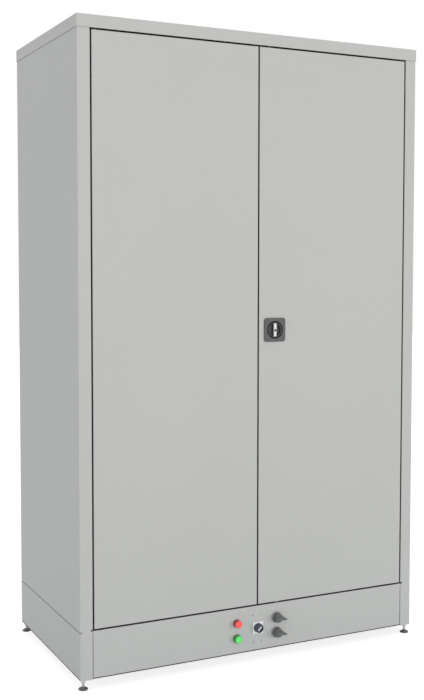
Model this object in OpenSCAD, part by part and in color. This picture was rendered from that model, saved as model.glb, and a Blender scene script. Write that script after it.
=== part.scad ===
// Two-door drying cabinet for work clothes: a folded sheet-steel locker on a machine base
// that holds the fans, the heaters and the controls. Warm air rises through the floor
// grilles, past the shoe racks and the hanging space, and leaves at the roof spigot.
// Units are millimetres, +Z is up, and the origin is on the floor under the middle.

/* [Cabinet] */
// Overall width across the side walls
body_w = 1200; // [1000:10:1500]
// Depth from the front plane to the back panel
body_d = 620; // [500:10:760]
// Height from the floor to the top of the roof
body_h = 2000; // [1650:10:2400]
// Clear height under the base
foot_h = 30; // [28:1:40]
// Height of the machine base above the feet
base_h = 148; // [146:1:200]
// Height of the roof cap's lip
cap_h = 37.5; // [30:0.5:50]
// Room between the roof cap's lip and the walls
cap_room = 0.3; // [0.2:0.1:1]
// Width of the front stiles
stile_w = 40; // [32:1:60]
// Depth of the stiles' inner return
stile_depth = 30; // [29:1:45]
// Steel sheet thickness
sheet = 1.2; // [0.8:0.1:1.5]
// Width of the folded flanges
flange_w = 20; // [14:1:24]
// Height of the seam between a side wall and its base panel
seam = 2.5; // [1:0.5:3]
// Size of the relief cuts at the folded corners
relief = 5.5; // [3:0.5:6]
// Outer radius of the folds
fold_r = 1.6; // [1:0.1:2.2]
// Gap beside the base front panel
panel_gap = 1.4; // [0.5:0.1:2]
// Height of the slot under the base front panel
toe_gap = 4; // [2:0.5:8]
// Depth of the slot under the base front panel
toe_back = 5; // [4:0.5:12]
// Height of the slot under the base side panels
side_gap = 2; // [1.5:0.5:6]

/* [Doors] */
// Gap round and between the doors
door_gap = 5; // [4.5:0.5:7]
// Depth of the folded door pans
door_depth = 22; // [20:1:26]
// Width of the pans' rear lips
lip_w = 15; // [10:1:17]
// Pivot axis, distance from the hinge edge
pivot_in = 12; // [11:0.5:14]
// Pivot axis, distance behind the door's face
pivot_back = 10; // [9:0.5:11]
// Radius of the pivot pins
pivot_r = 4; // [3:0.25:4.5]
// Running clearance on pins, shafts and rods, on the radius
run_fit = 0.05; // [0.02:0.01:0.1]
// Clearance between other moving faces
slack = 0.3; // [0.3:0.1:0.6]
// Height of the door stops
stop_h = 16; // [12:1:22]
// Width of the stiffening ribs in the doors
brace_w = 70; // [40:5:120]

/* [Lock] */
// Lock centre, distance from the cabinet's centre line
lock_x = 58.5; // [56:0.5:90]
// Lock centre, height above the floor
lock_z = 1067.5; // [900:2.5:1200]
// Width of the square lock plate
lock_plate_w = 75.5; // [74:0.5:85]
// Thickness of the lock plate in front of the door
lock_plate_t = 3.5; // [2:0.5:6]
// Corner radius of the lock plate
lock_corner = 8; // [3:0.5:10]
// Radius of the dish in the lock plate
dish_r = 27.5; // [27:0.5:30]
// Width of the black rim round the rotor
rim_w = 3.2; // [1:0.2:4]
// Width of the grip bar
grip_w = 10.5; // [10:0.5:14]
// Height of the grip bar
grip_h = 41; // [36:1:43]
// Radius of the key barrel
barrel_r = 4.2; // [3.6:0.1:4.4]
// Key barrel, distance below the lock's centre
barrel_drop = 1.5; // [0:0.5:14]
// Gear module of the rod drive
gear_m = 2; // [1.8:0.1:2]
// Teeth on the rod drive's pinion
gear_teeth = 12; // [12:2:12]
// Radius of the locking rods
rod_r = 4; // [3:0.25:4.5]

/* [Controls] */
// Distance of the lamps to the left of the centre line
lamp_x = 75; // [60:1:120]
// Distance of the switches to the right of the centre line
switch_x = 70; // [60:1:120]
// Height of the upper row of controls
upper_row_z = 131; // [129:1:140]
// Height of the lower row of controls
lower_row_z = 82; // [70:1:86]
// Radius of the signal lamps
lamp_r = 13; // [12:0.1:16]
// Radius of the rotary switches' faces
switch_r = 15.5; // [14:0.5:19]
// Reach of the switch knobs in front of the panel
switch_reach = 24; // [18:1:30]
// Angle of the switches' noses below the horizontal
nose_drop = 10; // [-45:5:45]
// Width of the thermostat's square plate
thermo_plate_w = 38; // [34:1:44]
// Thermostat, distance to the right of the centre line
thermo_x = 1.5; // [-10:0.5:20]
// Radius of the thermostat's knob
thermo_r = 14.8; // [12:0.2:17]

/* [Inside] */
// Height of the hanger rail's centre
rail_z = 1620; // [1300:10:1650]
// Radius of the hanger rail
rail_r = 12.5; // [10:0.5:16]
// Height of the hat shelf's top
hat_shelf_z = 1700; // [1400:10:1740]
// Depth of the hat shelf
hat_shelf_d = 400; // [300:10:420]
// Heights of the two shoe racks
shoe_rack_z = [340, 500];
// Depth of the shoe racks
shoe_rack_d = 420; // [320:10:460]
// Tubes in a shoe rack
shoe_tubes = 8; // [5:1:10]
// Radius of the shoe racks' tubes
shoe_tube_r = 6; // [5:0.5:8]

/* [Air] */
// Radius of the exhaust spigot
spigot_r = 50; // [40:1:62.5]
// Height of the exhaust spigot above the roof
spigot_h = 50; // [40:1:60]
// Exhaust spigot, distance behind the front plane
spigot_back = 420; // [300:10:420]
// Width of the square fan frames
fan_w = 108; // [92:2:110]
// Blades on a fan
fan_blades = 7; // [5:1:9]
// Fan centre, distance from the centre line
fan_x = 250; // [200:10:330]
// Radius of the tubular heaters
heater_r = 4.25; // [3:0.25:6]

/* [Feet] */
// Foot centre, distance from the cabinet's faces
foot_in = 13; // [12:0.5:16]
// Radius of a foot's pad
foot_r = 14.5; // [12:0.5:16]
// Radius of a foot's stem
stem_r = 4; // [3:0.5:5]

/* [Cable entry] */
// Cable entry, distance from the centre line
gland_x = 480; // [400:10:480]
// Height of the cable entry
gland_z = 70; // [60:1:100]
// Radius of the cable entry's bore
gland_bore_r = 4.5; // [3:0.5:6]
// Reach of the cable entry behind the back panel
gland_reach = 24; // [16:1:30]

/* [Hidden] */
$fn = 48;
half_w = body_w / 2;
base_top = foot_h + base_h;
cap_over = sheet + cap_room;
cap_z = body_h - cap_h;
wall_top = body_h - sheet;
wall_back = body_d - sheet;
stile_x = half_w - stile_w;
inner_x = half_w - sheet;
hem_w = 14;
sill_drop = 24;

// How far a cut runs past the face it opens
past = 1;

// Room round what is pressed into its hole
press_room = 0.05;

// Doors: each leaf is drawn on the right and mirrored for the left
door_x0 = door_gap / 2;
door_x1 = stile_x - door_gap;
door_z0 = base_top + door_gap;
door_z1 = cap_z - door_gap;
pivot_x = door_x1 - pivot_in;
pivot_sweep = norm([pivot_in, door_depth - pivot_back]);
bush_rim_t = 2;
bush_wall = 2;
bush_l = 12;
bush_hole_r = pivot_r + bush_wall;
stop_y = door_depth + 2;
stop_x = pivot_x - pivot_sweep - 6;
catch_x = 280;
catch_w = 50;
catch_face = stop_y - 0.2;
brace_x = (door_x0 + door_x1) / 2;
brace_d = door_depth - 3 * sheet;
pin_block = [20, door_depth - 2.5 * sheet, 24];

// Lock and rod drive, behind the door's face
dish_depth = 9;
dish_wall = 3;
dish_floor = 2;
rim_groove = 0.8;
rotor_r = dish_r - rim_w - slack;
rotor_floor = 2.2;
rotor_back = dish_depth - slack;
cup_floor_y = rotor_back - rotor_floor;
rotor_wall = 2.2;
grip_front = lock_plate_t + 1.5;
grip_cheek = 1.2;
grip_corner = 2;
rod_hole_r = rod_r + 1.5;
pitch_r = gear_m * gear_teeth / 2;
pressure = 25;
tooth_up = 0.85 * gear_m;
tooth_down = 1.1 * gear_m;
backlash = 0.3;
drive_y0 = dish_depth + dish_floor + 1.5;
drive_t = 6;
rod_y = drive_y0 + drive_t / 2;
rack_w = 5.5;
rod_x = pitch_r + tooth_down + rack_w / 2;
rod_travel = pitch_r * PI / 2;
rack_half = rod_travel + 8;
case_x = 34;
case_z = rack_half + rod_travel - 3;
case_back = drive_y0 + drive_t + 1.5;
rod_end_inset = 1;
spindle_r = 5;
journal_r = 4;
keep_room = 0.6;
keep_r = rod_r + keep_room;
keep_hole_r = keep_r + bush_wall;

// Controls on the base panel
lamp_reach = 16;
lamp_hole_r = 11.2;
lamp_nut_r = 13.5;
lamp_body_w = 24;
thermo_reach = 14;
thermo_z = (upper_row_z + lower_row_z) / 2;
thermo_plate_t = 1.5;
thermo_body = [46, 40];
pointer_w = 6;
pointer_t = 4;
switch_plate_t = 2.5;
switch_body_w = 28;
shank_r = 5.8;
shank_hole_r = 6;

// Inside fittings
wall_room = 0.3;
shelf_lip = 25;
floor_t = 2;
tray_h = 26;
beam_h = 30;
beam_w = 30;
beam_front = stop_y + sheet + 2;
rib_w = 90;
rib_depth = 4;
shelf_back = wall_back - flange_w;
rail_y = body_d / 2;
rail_wall = 1.5;
cup_l = 22;

// Fans
fan_depth = 38;
fan_y = wall_back - fan_depth;
fan_z = foot_h + sheet + 3 + fan_w / 2;
fan_ring_r = fan_w / 2 - 4;
fan_pin_r = 3;
fan_hub_r = 18;

// Cable entry
gland_hole_r = gland_bore_r + 3.5;
gland_nut_r = gland_hole_r + 4;
gland_dome_r = gland_hole_r + 2.5;
gland_inner = 10;

// Foot sockets
socket_r = 8.5;
socket_l = 28;
nut_h = 10;
stem_up = socket_l + 8;
neck_r = 6.5;

// Front plane: the reach of the knobs and of the cable entry centres the box on the origin
front_reach = switch_reach;
rear_reach = gland_reach;
y_front = -(body_d + rear_reach - front_reach) / 2;

// Helpers

// Moves a part drawn from the front plane to its place over the origin
module in_place() {
    translate([0, y_front, 0]) children();
}

module on_left() {
    mirror([1, 0, 0]) children();
}

module on_both_sides() {
    children();
    on_left() children();
}

// Box between two corners
module block(low, high) {
    translate(low) cube(high - low);
}

// Rectangle between two corners
module strip(low, high) {
    translate(low) square(high - low);
}

// Round bar along Y
module shaft_y(r, y0, y1) {
    translate([0, y0, 0]) rotate([-90, 0, 0]) cylinder(r = r, h = y1 - y0);
}

// Round bar along X
module shaft_x(r, x0, x1) {
    translate([x0, 0, 0]) rotate([0, 90, 0]) cylinder(r = r, h = x1 - x0);
}

// Outline drawn as seen from the front, standing between two depths
module upright(y0, y1) {
    translate([0, y1, 0]) rotate([90, 0, 0]) linear_extrude(y1 - y0) children();
}

// Profile drawn in Y and Z, running along X
module along_x(x0, x1) {
    translate([x0, 0, 0]) rotate([90, 0, 90]) linear_extrude(x1 - x0) children();
}

module round_rect(w, h, r) {
    square([w - 2 * r, h], center = true);
    square([w, h - 2 * r], center = true);
    for (sx = [-1, 1], sz = [-1, 1])
        translate([sx * (w / 2 - r), sz * (h / 2 - r)]) circle(r);
}

module ring(r_out, r_in) {
    difference() {
        circle(r_out);
        circle(r_in);
    }
}

// Rectangle whose two corners on the low side of Y are rounded like a fold
module front_folds(low, high) {
    strip([low[0], low[1] + fold_r], high);
    strip([low[0] + fold_r, low[1]], [high[0] - fold_r, high[1]]);
    for (x = [low[0] + fold_r, high[0] - fold_r])
        translate([x, low[1] + fold_r]) circle(fold_r);
}

// Box whose four front edges are rounded like folds
module folded_box(low, high) {
    intersection() {
        translate([0, 0, low[2]]) linear_extrude(high[2] - low[2])
            front_folds([low[0], low[1]], [high[0], high[1]]);
        along_x(low[0], high[0]) mirror([1, -1]) front_folds([low[2], low[1]], [high[2], high[1]]);
    }
}

// Cabinet shell

// One wall in plan: wall, stile, jamb, hem and rear flange folded from one sheet
module side_profile() {
    strip([inner_x, 0], [half_w, wall_back]);
    strip([stile_x, 0], [half_w, sheet]);
    strip([stile_x, 0], [stile_x + sheet, stile_depth]);
    strip([stile_x, stile_depth - sheet], [stile_x + hem_w, stile_depth]);
    strip([half_w - flange_w, wall_back - sheet], [half_w, wall_back]);
}

module side_wall() {
    intersection() {
        difference() {
            union() {
                translate([0, 0, base_top]) linear_extrude(wall_top - base_top) side_profile();
                block([stile_x, 0, foot_h], [half_w, sheet, base_top + past]);
                for (z = [base_top, wall_top - sheet])
                    block([half_w - flange_w, stile_depth, z], [half_w, wall_back, z + sheet]);
            }
            block(
                [half_w - relief, -past, base_top - relief],
                [half_w + past, 2 * sheet, base_top + sheet]
            );
            block(
                [stile_x - past, -past, base_top - sheet],
                [stile_x + relief, 2 * sheet, base_top + relief]
            );
        }
        translate([0, 0, foot_h]) linear_extrude(body_h)
            front_folds([stile_x, 0], [half_w, body_d]);
    }
}

module side_left() {
    color("lightgray") in_place() on_left() side_wall();
}

module side_right() {
    color("lightgray") in_place() side_wall();
}

// Outline of a pressed rib, with its open side carried past the sheet
module rib_outline(w) {
    polygon([
        [-w / 2, 0], [-w / 2 + 12, -rib_depth], [w / 2 - 12, -rib_depth],
        [w / 2, 0], [w / 2, 2], [-w / 2, 2]
    ]);
}

module back_profile() {
    spots = [-2, -1, 0, 1, 2] * (body_w / 6);
    difference() {
        union() {
            strip([-inner_x, wall_back], [inner_x, body_d]);
            for (x = spots)
                intersection() {
                    translate([x, wall_back]) rib_outline(rib_w);
                    strip([-half_w, 0], [half_w, body_d]);
                }
        }
        for (x = spots)
            translate([x, body_d]) rib_outline(rib_w);
    }
}

module back_panel() {
    color("silver") in_place()
        translate([0, 0, base_top]) linear_extrude(wall_top - base_top) back_profile();
}

module roof_cap() {
    outer_x = half_w + cap_over;
    outer_y = body_d / 2 + cap_over;
    color("gainsboro") in_place() difference() {
        translate([0, body_d / 2, cap_z]) intersection() {
            linear_extrude(cap_h) round_rect(2 * outer_x, 2 * outer_y, fold_r);
            along_x(-outer_x, outer_x) mirror([0, 1]) front_folds([-outer_y, -cap_h], [outer_y, 0]);
            upright(-outer_y, outer_y) mirror([0, 1]) front_folds([-outer_x, -cap_h], [outer_x, 0]);
        }
        block(
            [sheet - outer_x, sheet - cap_over, cap_z - past],
            [outer_x - sheet, body_d + cap_over - sheet, wall_top]
        );
        translate([0, spigot_back, cap_z]) cylinder(r = spigot_r - sheet, h = cap_h + past);
    }
}

// Inverted channel: two legs and a top, in Y and Z
module channel(w, h) {
    difference() {
        strip([0, 0], [w, h]);
        strip([sheet, -past], [w - sheet, h - sheet]);
    }
}

module roof_brace() {
    color("silver") in_place()
        translate([0, body_d / 3, wall_top - 25])
            along_x(-inner_x + flange_w + wall_room, inner_x - flange_w - wall_room)
                channel(40, 25);
}

// Door stop slots: the catches look through the stop lips
module catch_window(z0, z1) {
    block(
        [-catch_x - catch_w / 2, stop_y - past, z0],
        [-catch_x + catch_w / 2, stop_y + sheet + past, z1]
    );
}

// Upright hole through the sheets just above and below a point
module sheet_hole(spot, r) {
    translate(spot) translate([0, 0, -4 * sheet]) cylinder(r = r, h = 8 * sheet);
}

module front_header() {
    head_x = stile_x - wall_room;
    color("silver") in_place() difference() {
        union() {
            block([-head_x, 0, cap_z], [head_x, sheet, wall_top]);
            block([-head_x, 0, cap_z], [head_x, stop_y + sheet, cap_z + sheet]);
            block([-head_x, stop_y, cap_z], [head_x, stop_y + sheet, wall_top]);
            block([-stop_x, stop_y, cap_z - stop_h], [stop_x, stop_y + sheet, cap_z + sheet]);
        }
        on_both_sides() sheet_hole([pivot_x, pivot_back, cap_z], bush_hole_r);
        sheet_hole([lock_x - rod_x, rod_y, cap_z], keep_hole_r);
        catch_window(cap_z - stop_h + 2, cap_z - 2);
    }
}

module front_sill() {
    sill_x = inner_x - wall_room;
    top = base_top - sheet;
    color("silver") in_place() difference() {
        union() {
            block([-sill_x, sheet + slack, top - sill_drop], [sill_x, 2 * sheet + slack, top]);
            block([-sill_x, sheet + slack, top - sheet], [sill_x, stop_y + sheet, top]);
            block([-stop_x, stop_y, top - sheet], [stop_x, stop_y + sheet, base_top + stop_h]);
        }
        on_both_sides() sheet_hole([pivot_x, pivot_back, top], bush_hole_r);
        sheet_hole([lock_x + rod_x, rod_y, top], keep_hole_r);
        catch_window(base_top + 2, base_top + stop_h - 2);
    }
}

// Machine base

module base_front() {
    panel_x = stile_x - panel_gap;
    low = foot_h + toe_gap;
    color("lightgray") in_place() difference() {
        folded_box([-panel_x, 0, low], [panel_x, stop_y - slack, base_top]);
        block([sheet - panel_x, sheet, low + sheet], [panel_x - sheet, stop_y, base_top - sheet]);
        block([-half_w, toe_back, low - past], [half_w, stop_y, low + sheet]);
        block([-half_w, hem_w, low - past], [half_w, stop_y, base_top - sheet]);
        block(
            [-half_w, sheet, base_top - 2 * sheet - sill_drop],
            [half_w, stop_y, base_top - sheet]
        );
        for (z = [upper_row_z, lower_row_z]) {
            translate([-lamp_x, 0, z]) shaft_y(lamp_hole_r, -past, sheet + past);
            translate([switch_x, 0, z]) shaft_y(shank_hole_r, -past, sheet + past);
        }
        translate([thermo_x, 0, thermo_z]) shaft_y(shank_hole_r, -past, sheet + past);
        on_both_sides() sheet_hole([pivot_x, pivot_back, base_top], bush_hole_r);
        sheet_hole([lock_x + rod_x, rod_y, base_top], keep_hole_r);
    }
}

module base_side() {
    top = base_top - seam;
    difference() {
        union() {
            block([inner_x, sheet, foot_h + side_gap], [half_w, wall_back, top]);
            block([half_w - flange_w, stop_y + 4, top - sheet], [half_w, wall_back, top]);
        }
        block([half_w - relief, 0, top - 2], [half_w + past, sheet + 2, top + past]);
    }
}

module base_sides() {
    color("lightgray") in_place() on_both_sides() base_side();
}

// Air inlet: rows of slots in front of a fan
module inlet_slots() {
    rows = 7;
    pitch = fan_w / (rows + 1);
    for (row = [1 : rows], side = [-1, 1])
        translate([side * fan_w / 4.4, -fan_w / 2 + row * pitch])
            round_rect(fan_w / 2.6, 5, 2.4);
}

module base_back() {
    color("silver") in_place() difference() {
        block([-inner_x, wall_back, foot_h], [inner_x, body_d, base_top - seam]);
        on_both_sides() translate([fan_x, 0, fan_z])
            upright(wall_back - past, body_d + past) inlet_slots();
        translate([-gland_x, 0, gland_z]) shaft_y(gland_hole_r, wall_back - past, body_d + past);
    }
}

module base_floor() {
    edge_x = inner_x - wall_room;
    toe_x = stile_x - panel_gap - sheet - wall_room;
    top = foot_h + tray_h;
    color("dimgray") in_place() difference() {
        union() {
            block([-edge_x, toe_back, foot_h], [edge_x, wall_back, foot_h + sheet]);
            block([-toe_x, toe_back, foot_h], [toe_x, toe_back + sheet, top]);
            on_both_sides()
                block([edge_x - sheet, toe_back, foot_h], [edge_x, wall_back, top]);
        }
        on_both_sides() for (y = [foot_in, body_d - foot_in])
            sheet_hole([half_w - foot_in, y, foot_h], neck_r + 0.1);
    }
}

// Perforated floor: long slots in a sheet, one panel on each side of the centre beam
module floor_grille() {
    x0 = 1;
    x1 = inner_x - wall_room;
    y0 = stop_y + sheet + wall_room;
    y1 = wall_back - wall_room;
    cols = 10;
    rows = 13;
    dx = (x1 - x0 - 60) / cols;
    dy = (y1 - y0 - 60) / rows;
    difference() {
        block([x0, y0, base_top - floor_t], [x1, y1, base_top]);
        for (i = [0 : cols - 1], j = [0 : rows - 1])
            translate([x0 + 30 + (i + 0.5) * dx, y0 + 30 + (j + 0.5) * dy, base_top])
                cube([dx - 14, 9, 3 * floor_t], center = true);
    }
}

module floor_grilles() {
    color("lightgray") in_place() on_both_sides() floor_grille();
}

module floor_beams() {
    z = base_top - floor_t - beam_h;
    end_x = inner_x - flange_w - wall_room;
    back_y = wall_back - 48;
    color("silver") in_place() {
        for (y = [beam_front, back_y])
            translate([0, y, z]) along_x(-end_x, end_x) channel(beam_w, beam_h);
        translate([-beam_w / 2, back_y, z]) rotate([90, 0, 0])
            linear_extrude(back_y - beam_front - beam_w) channel(beam_w, beam_h);
    }
}

// Bent tube heater: runs along X joined by half turns, carried by two slotted stands
module heater() {
    bend_r = 30;
    runs = 4;
    x0 = 90;
    x1 = half_w - 90;
    y0 = body_d / 2 - 90;
    z = foot_h + 62;
    for (i = [0 : runs - 1])
        translate([0, y0 + i * 2 * bend_r, z]) shaft_x(heater_r, x0, x1);
    for (i = [0 : runs - 2])
        translate([i % 2 == 0 ? x1 : x0, y0 + (2 * i + 1) * bend_r, z])
            rotate([0, 0, i % 2 == 0 ? -90 : 90])
                rotate_extrude(angle = 180) translate([bend_r, 0]) circle(heater_r);
    for (x = [x0 + 60, x1 - 60])
        block([x, y0 - 12, foot_h + sheet], [x + sheet, y0 + (runs - 1) * 2 * bend_r + 12, z + 10]);
}

module heaters() {
    color("dimgray") in_place() on_both_sides() heater();
}

module fan_housing() {
    translate([fan_x, 0, fan_z]) difference() {
        union() {
            difference() {
                upright(fan_y, wall_back) round_rect(fan_w, fan_w, 4);
                shaft_y(fan_ring_r, fan_y - past, wall_back + past);
            }
            upright(wall_back - 4, wall_back) difference() {
                union() {
                    circle(fan_hub_r + 2);
                    for (a = [45, 135, 225, 315])
                        rotate(a) strip([fan_hub_r, -3], [fan_ring_r + 2, 3]);
                }
                circle(fan_pin_r - 1);
            }
            shaft_y(fan_pin_r, fan_y + 8, wall_back - 2);
        }
        for (sx = [-1, 1], sz = [-1, 1])
            translate([sx * (fan_w / 2 - 7), 0, sz * (fan_w / 2 - 7)])
                shaft_y(2.2, fan_y - past, wall_back + past);
    }
}

module fan_housings() {
    color("dimgray") in_place() on_both_sides() fan_housing();
}

// Impeller: cambered blades round a hub that runs on the housing's pin
module impeller() {
    y0 = fan_y + 4;
    y1 = wall_back - 8;
    difference() {
        union() {
            shaft_y(fan_hub_r, y0, y1);
            intersection() {
                shaft_y(fan_ring_r - 2, y0 + 1, y1 - 1);
                for (i = [0 : fan_blades - 1])
                    rotate([0, i * 360 / fan_blades, 0])
                        translate([fan_hub_r - 2, (y0 + y1) / 2, 0]) blade();
            }
        }
        shaft_y(fan_pin_r + run_fit, y0 + 3, y1 + past);
        difference() {
            shaft_y(fan_hub_r - 2, y1 - 12, y1 + past);
            shaft_y(fan_pin_r + 3, y1 - 12 - past, y1 + 2 * past);
        }
    }
}

// Blade along X: a strip of a tube's wall, pitched to the air's way
module blade() {
    camber_r = 40;
    thick = 2;
    rotate([38, 0, 0]) translate([0, camber_r, 0]) rotate([0, 90, 0]) linear_extrude(fan_w / 2)
        difference() {
            ring(camber_r + thick / 2, camber_r - thick / 2);
            strip([-camber_r - thick, -camber_r * 0.75], [camber_r + thick, camber_r + thick]);
        }
}

module fan_left() {
    color("black") in_place() translate([-fan_x, 0, fan_z]) impeller();
}

module fan_right() {
    color("black") in_place() translate([fan_x, 0, fan_z]) impeller();
}

// Controls

// Lens with a collar, a slightly coned wall and a rounded rim
module lamp(z) {
    rim = 1.5;
    face_r = lamp_r - 2.7;
    translate([-lamp_x, 0, z]) rotate([90, 0, 0]) rotate_extrude() {
        polygon([
            [0, 0], [lamp_r, 0], [lamp_r, 4], [face_r + rim, lamp_reach - rim],
            [face_r, lamp_reach - rim], [face_r, lamp_reach], [0, lamp_reach]
        ]);
        intersection() {
            translate([face_r, lamp_reach - rim]) circle(rim);
            strip([face_r, lamp_reach - rim], [face_r + rim, lamp_reach]);
        }
    }
}

module lamp_red() {
    color("firebrick") in_place() lamp(upper_row_z);
}

module lamp_green() {
    color("forestgreen") in_place() lamp(lower_row_z);
}

// Bodies behind the panel: lamp holders, switch blocks, thermostat and terminal block
module control_bodies() {
    color("dimgray") in_place() {
        for (z = [upper_row_z, lower_row_z]) {
            translate([-lamp_x, 0, z]) {
                shaft_y(lamp_hole_r - 0.2, 0, 8);
                shaft_y(lamp_nut_r, sheet, 7);
                upright(8, 34) round_rect(lamp_body_w, lamp_body_w, 2);
            }
            translate([switch_x, 0, z]) {
                shaft_y(shank_r, 0, 5);
                upright(sheet, 38) round_rect(switch_body_w, switch_body_w, 2);
            }
        }
        translate([thermo_x, 0, thermo_z]) {
            shaft_y(shank_r, 0, 5);
            upright(sheet, 30) round_rect(thermo_body[0], thermo_body[1], 3);
        }
        block(
            [-gland_x + 40, wall_back - 60, foot_h + sheet],
            [-gland_x + 120, wall_back - 25, foot_h + 28]
        );
    }
}

module thermostat_plate() {
    color("whitesmoke") in_place() translate([thermo_x, 0, thermo_z])
        upright(-thermo_plate_t, 0) round_rect(thermo_plate_w, thermo_plate_w, 2);
}

module thermostat_knob() {
    foot = thermo_plate_t + slack;
    color("midnightblue") in_place() translate([thermo_x, 0, thermo_z]) difference() {
        rotate([90, 0, 0]) rotate_extrude() polygon([
            [0, foot], [thermo_r, foot], [thermo_r - 0.6, thermo_reach - 1],
            [thermo_r - 1.6, thermo_reach], [thermo_r - 4, thermo_reach],
            [thermo_r - 4.5, thermo_reach - 2], [0, thermo_reach - 2]
        ]);
        rotate([0, 45, 0]) upright(-thermo_reach - past, pointer_t - thermo_reach)
            square([pointer_w, 2 * thermo_r + 2], center = true);
    }
}

// Light pointer bar let into the knob, at 45 degrees
module thermostat_pointer() {
    color("lightgray") in_place() translate([thermo_x, 0, thermo_z]) rotate([0, 45, 0])
        upright(-thermo_reach - 0.6, pointer_t - thermo_reach)
            square([pointer_w, 2 * thermo_r - 3], center = true);
}

module switch_plates() {
    color("gray") in_place() for (z = [upper_row_z, lower_row_z])
        translate([switch_x, 0, z]) upright(-switch_plate_t, 0) ring(switch_r + 3.5, shank_hole_r);
}

// Rotary knob with a raised grip whose nose points to the right and a little down
module switch_knob(z) {
    foot = switch_plate_t + slack;
    body = switch_reach - 5;
    grip_half = 5;
    nose_r = 2.5;
    nose = switch_r + 10;
    rim = switch_r - 3;
    tail = grip_half + 0.5 - rim;
    translate([switch_x, 0, z]) {
        rotate([90, 0, 0]) rotate_extrude() polygon([
            [0, foot], [switch_r + 1, foot], [switch_r + 1, foot + 2], [switch_r - 1, foot + 4],
            [rim + 1.4, body - 1], [rim, body], [0, body]
        ]);
        rotate([0, nose_drop, 0]) upright(-switch_reach, -foot - 1) {
            polygon([
                [tail, -grip_half], [0, -grip_half - 1], [nose, -nose_r],
                [nose, nose_r], [0, grip_half + 1], [tail, grip_half]
            ]);
            translate([nose, 0]) circle(nose_r);
            translate([tail, 0]) circle(grip_half);
        }
    }
}

module switch_knob_upper() {
    color("dimgray") in_place() switch_knob(upper_row_z);
}

module switch_knob_lower() {
    color("dimgray") in_place() switch_knob(lower_row_z);
}

// Cable entry: a gland with a hexagon, a dome and a lock nut inside
module cable_gland() {
    color("dimgray") in_place() translate([-gland_x, body_d, gland_z]) difference() {
        union() {
            shaft_y(gland_hole_r - 0.1, -gland_inner, 1);
            shaft_y(gland_nut_r, 0, 1.5);
            rotate([-90, 0, 0]) translate([0, 0, 1]) cylinder(r = gland_nut_r, h = 7, $fn = 6);
            rotate([-90, 0, 0]) rotate_extrude() polygon([
                [0, 7], [gland_dome_r, 7], [gland_dome_r, gland_reach - 5],
                [gland_dome_r - 3, gland_reach], [0, gland_reach]
            ]);
            rotate([-90, 0, 0]) translate([0, 0, -sheet - 5])
                cylinder(r = gland_nut_r, h = 5, $fn = 6);
        }
        shaft_y(gland_bore_r, -gland_inner - past, gland_reach + past);
    }
}

// Inside fittings

module hanger_rail() {
    color("silver") in_place() translate([0, rail_y, rail_z]) difference() {
        shaft_x(rail_r, -inner_x + 3, inner_x - 3);
        shaft_x(rail_r - rail_wall, -inner_x, inner_x);
    }
}

// Cup on each wall and a hanger under the hat shelf in the middle
module rail_brackets() {
    cup_r = rail_r + 2;
    shelf_under = hat_shelf_z - shelf_lip;
    color("silver") in_place() {
        on_both_sides() translate([0, rail_y, rail_z]) {
            shaft_x(rail_r + 12, inner_x - 3, inner_x);
            difference() {
                shaft_x(cup_r, inner_x - cup_l, inner_x - 3);
                shaft_x(rail_r + press_room, inner_x - cup_l - past, inner_x);
                block(
                    [inner_x - cup_l - past, -cup_r - past, rail_r / 2],
                    [inner_x - 3, cup_r + past, cup_r + past]
                );
            }
        }
        difference() {
            union() {
                block([-12, rail_y - 2, rail_z + rail_r - 2], [12, rail_y + 2, shelf_under + 20]);
                translate([0, rail_y, rail_z]) shaft_x(cup_r, -12, 12);
            }
            translate([0, rail_y, rail_z]) shaft_x(rail_r + press_room, -12 - past, 12 + past);
        }
    }
}

// Slotted tray with folded edges
module hat_shelf() {
    shelf_x = inner_x - 2 * sheet - wall_room;
    y1 = shelf_back - wall_room;
    y0 = y1 - hat_shelf_d;
    under = hat_shelf_z - shelf_lip;
    cols = 12;
    rows = 6;
    dx = (2 * shelf_x - 60) / cols;
    dy = (hat_shelf_d - 60) / rows;
    color("lightgray") in_place() difference() {
        folded_box([-shelf_x, y0, under], [shelf_x, y1, hat_shelf_z]);
        block(
            [sheet - shelf_x, y0 + sheet, under - past],
            [shelf_x - sheet, y1 - sheet, hat_shelf_z - sheet]
        );
        for (i = [0 : cols - 1], j = [0 : rows - 1])
            translate([30 - shelf_x + (i + 0.5) * dx, y0 + 30 + (j + 0.5) * dy, hat_shelf_z])
                cube([dx - 16, 14, 4 * sheet], center = true);
    }
}

// Angle ledges on both walls under the hat shelf and the shoe racks
module ledge(depth, z) {
    y1 = shelf_back - wall_room;
    block([inner_x - sheet, y1 - depth, z - sheet], [inner_x, y1, z + 16]);
    block([inner_x - 18, y1 - depth, z - sheet], [inner_x, y1, z]);
}

module shelf_ledges() {
    color("silver") in_place() on_both_sides() {
        ledge(hat_shelf_d, hat_shelf_z - shelf_lip);
        for (z = shoe_rack_z) ledge(shoe_rack_d, z - 20);
    }
}

// Tubes along X between two folded end plates that stand on the ledges
module shoe_rack(z) {
    rack_x = inner_x - sheet - wall_room - 0.2;
    y1 = shelf_back - wall_room;
    y0 = y1 - shoe_rack_d;
    pitch = (shoe_rack_d - 40) / (shoe_tubes - 1);
    for (side = [-1, 1])
        translate([side * (rack_x - 1), 0, 0]) block([-1, y0, z - 20], [1, y1, z + 8]);
    for (i = [0 : shoe_tubes - 1])
        translate([0, y0 + 20 + i * pitch, z - 4]) shaft_x(shoe_tube_r, 1 - rack_x, rack_x - 1);
}

module shoe_rack_lower() {
    color("silver") in_place() shoe_rack(shoe_rack_z[0]);
}

module shoe_rack_upper() {
    color("silver") in_place() shoe_rack(shoe_rack_z[1]);
}

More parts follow.
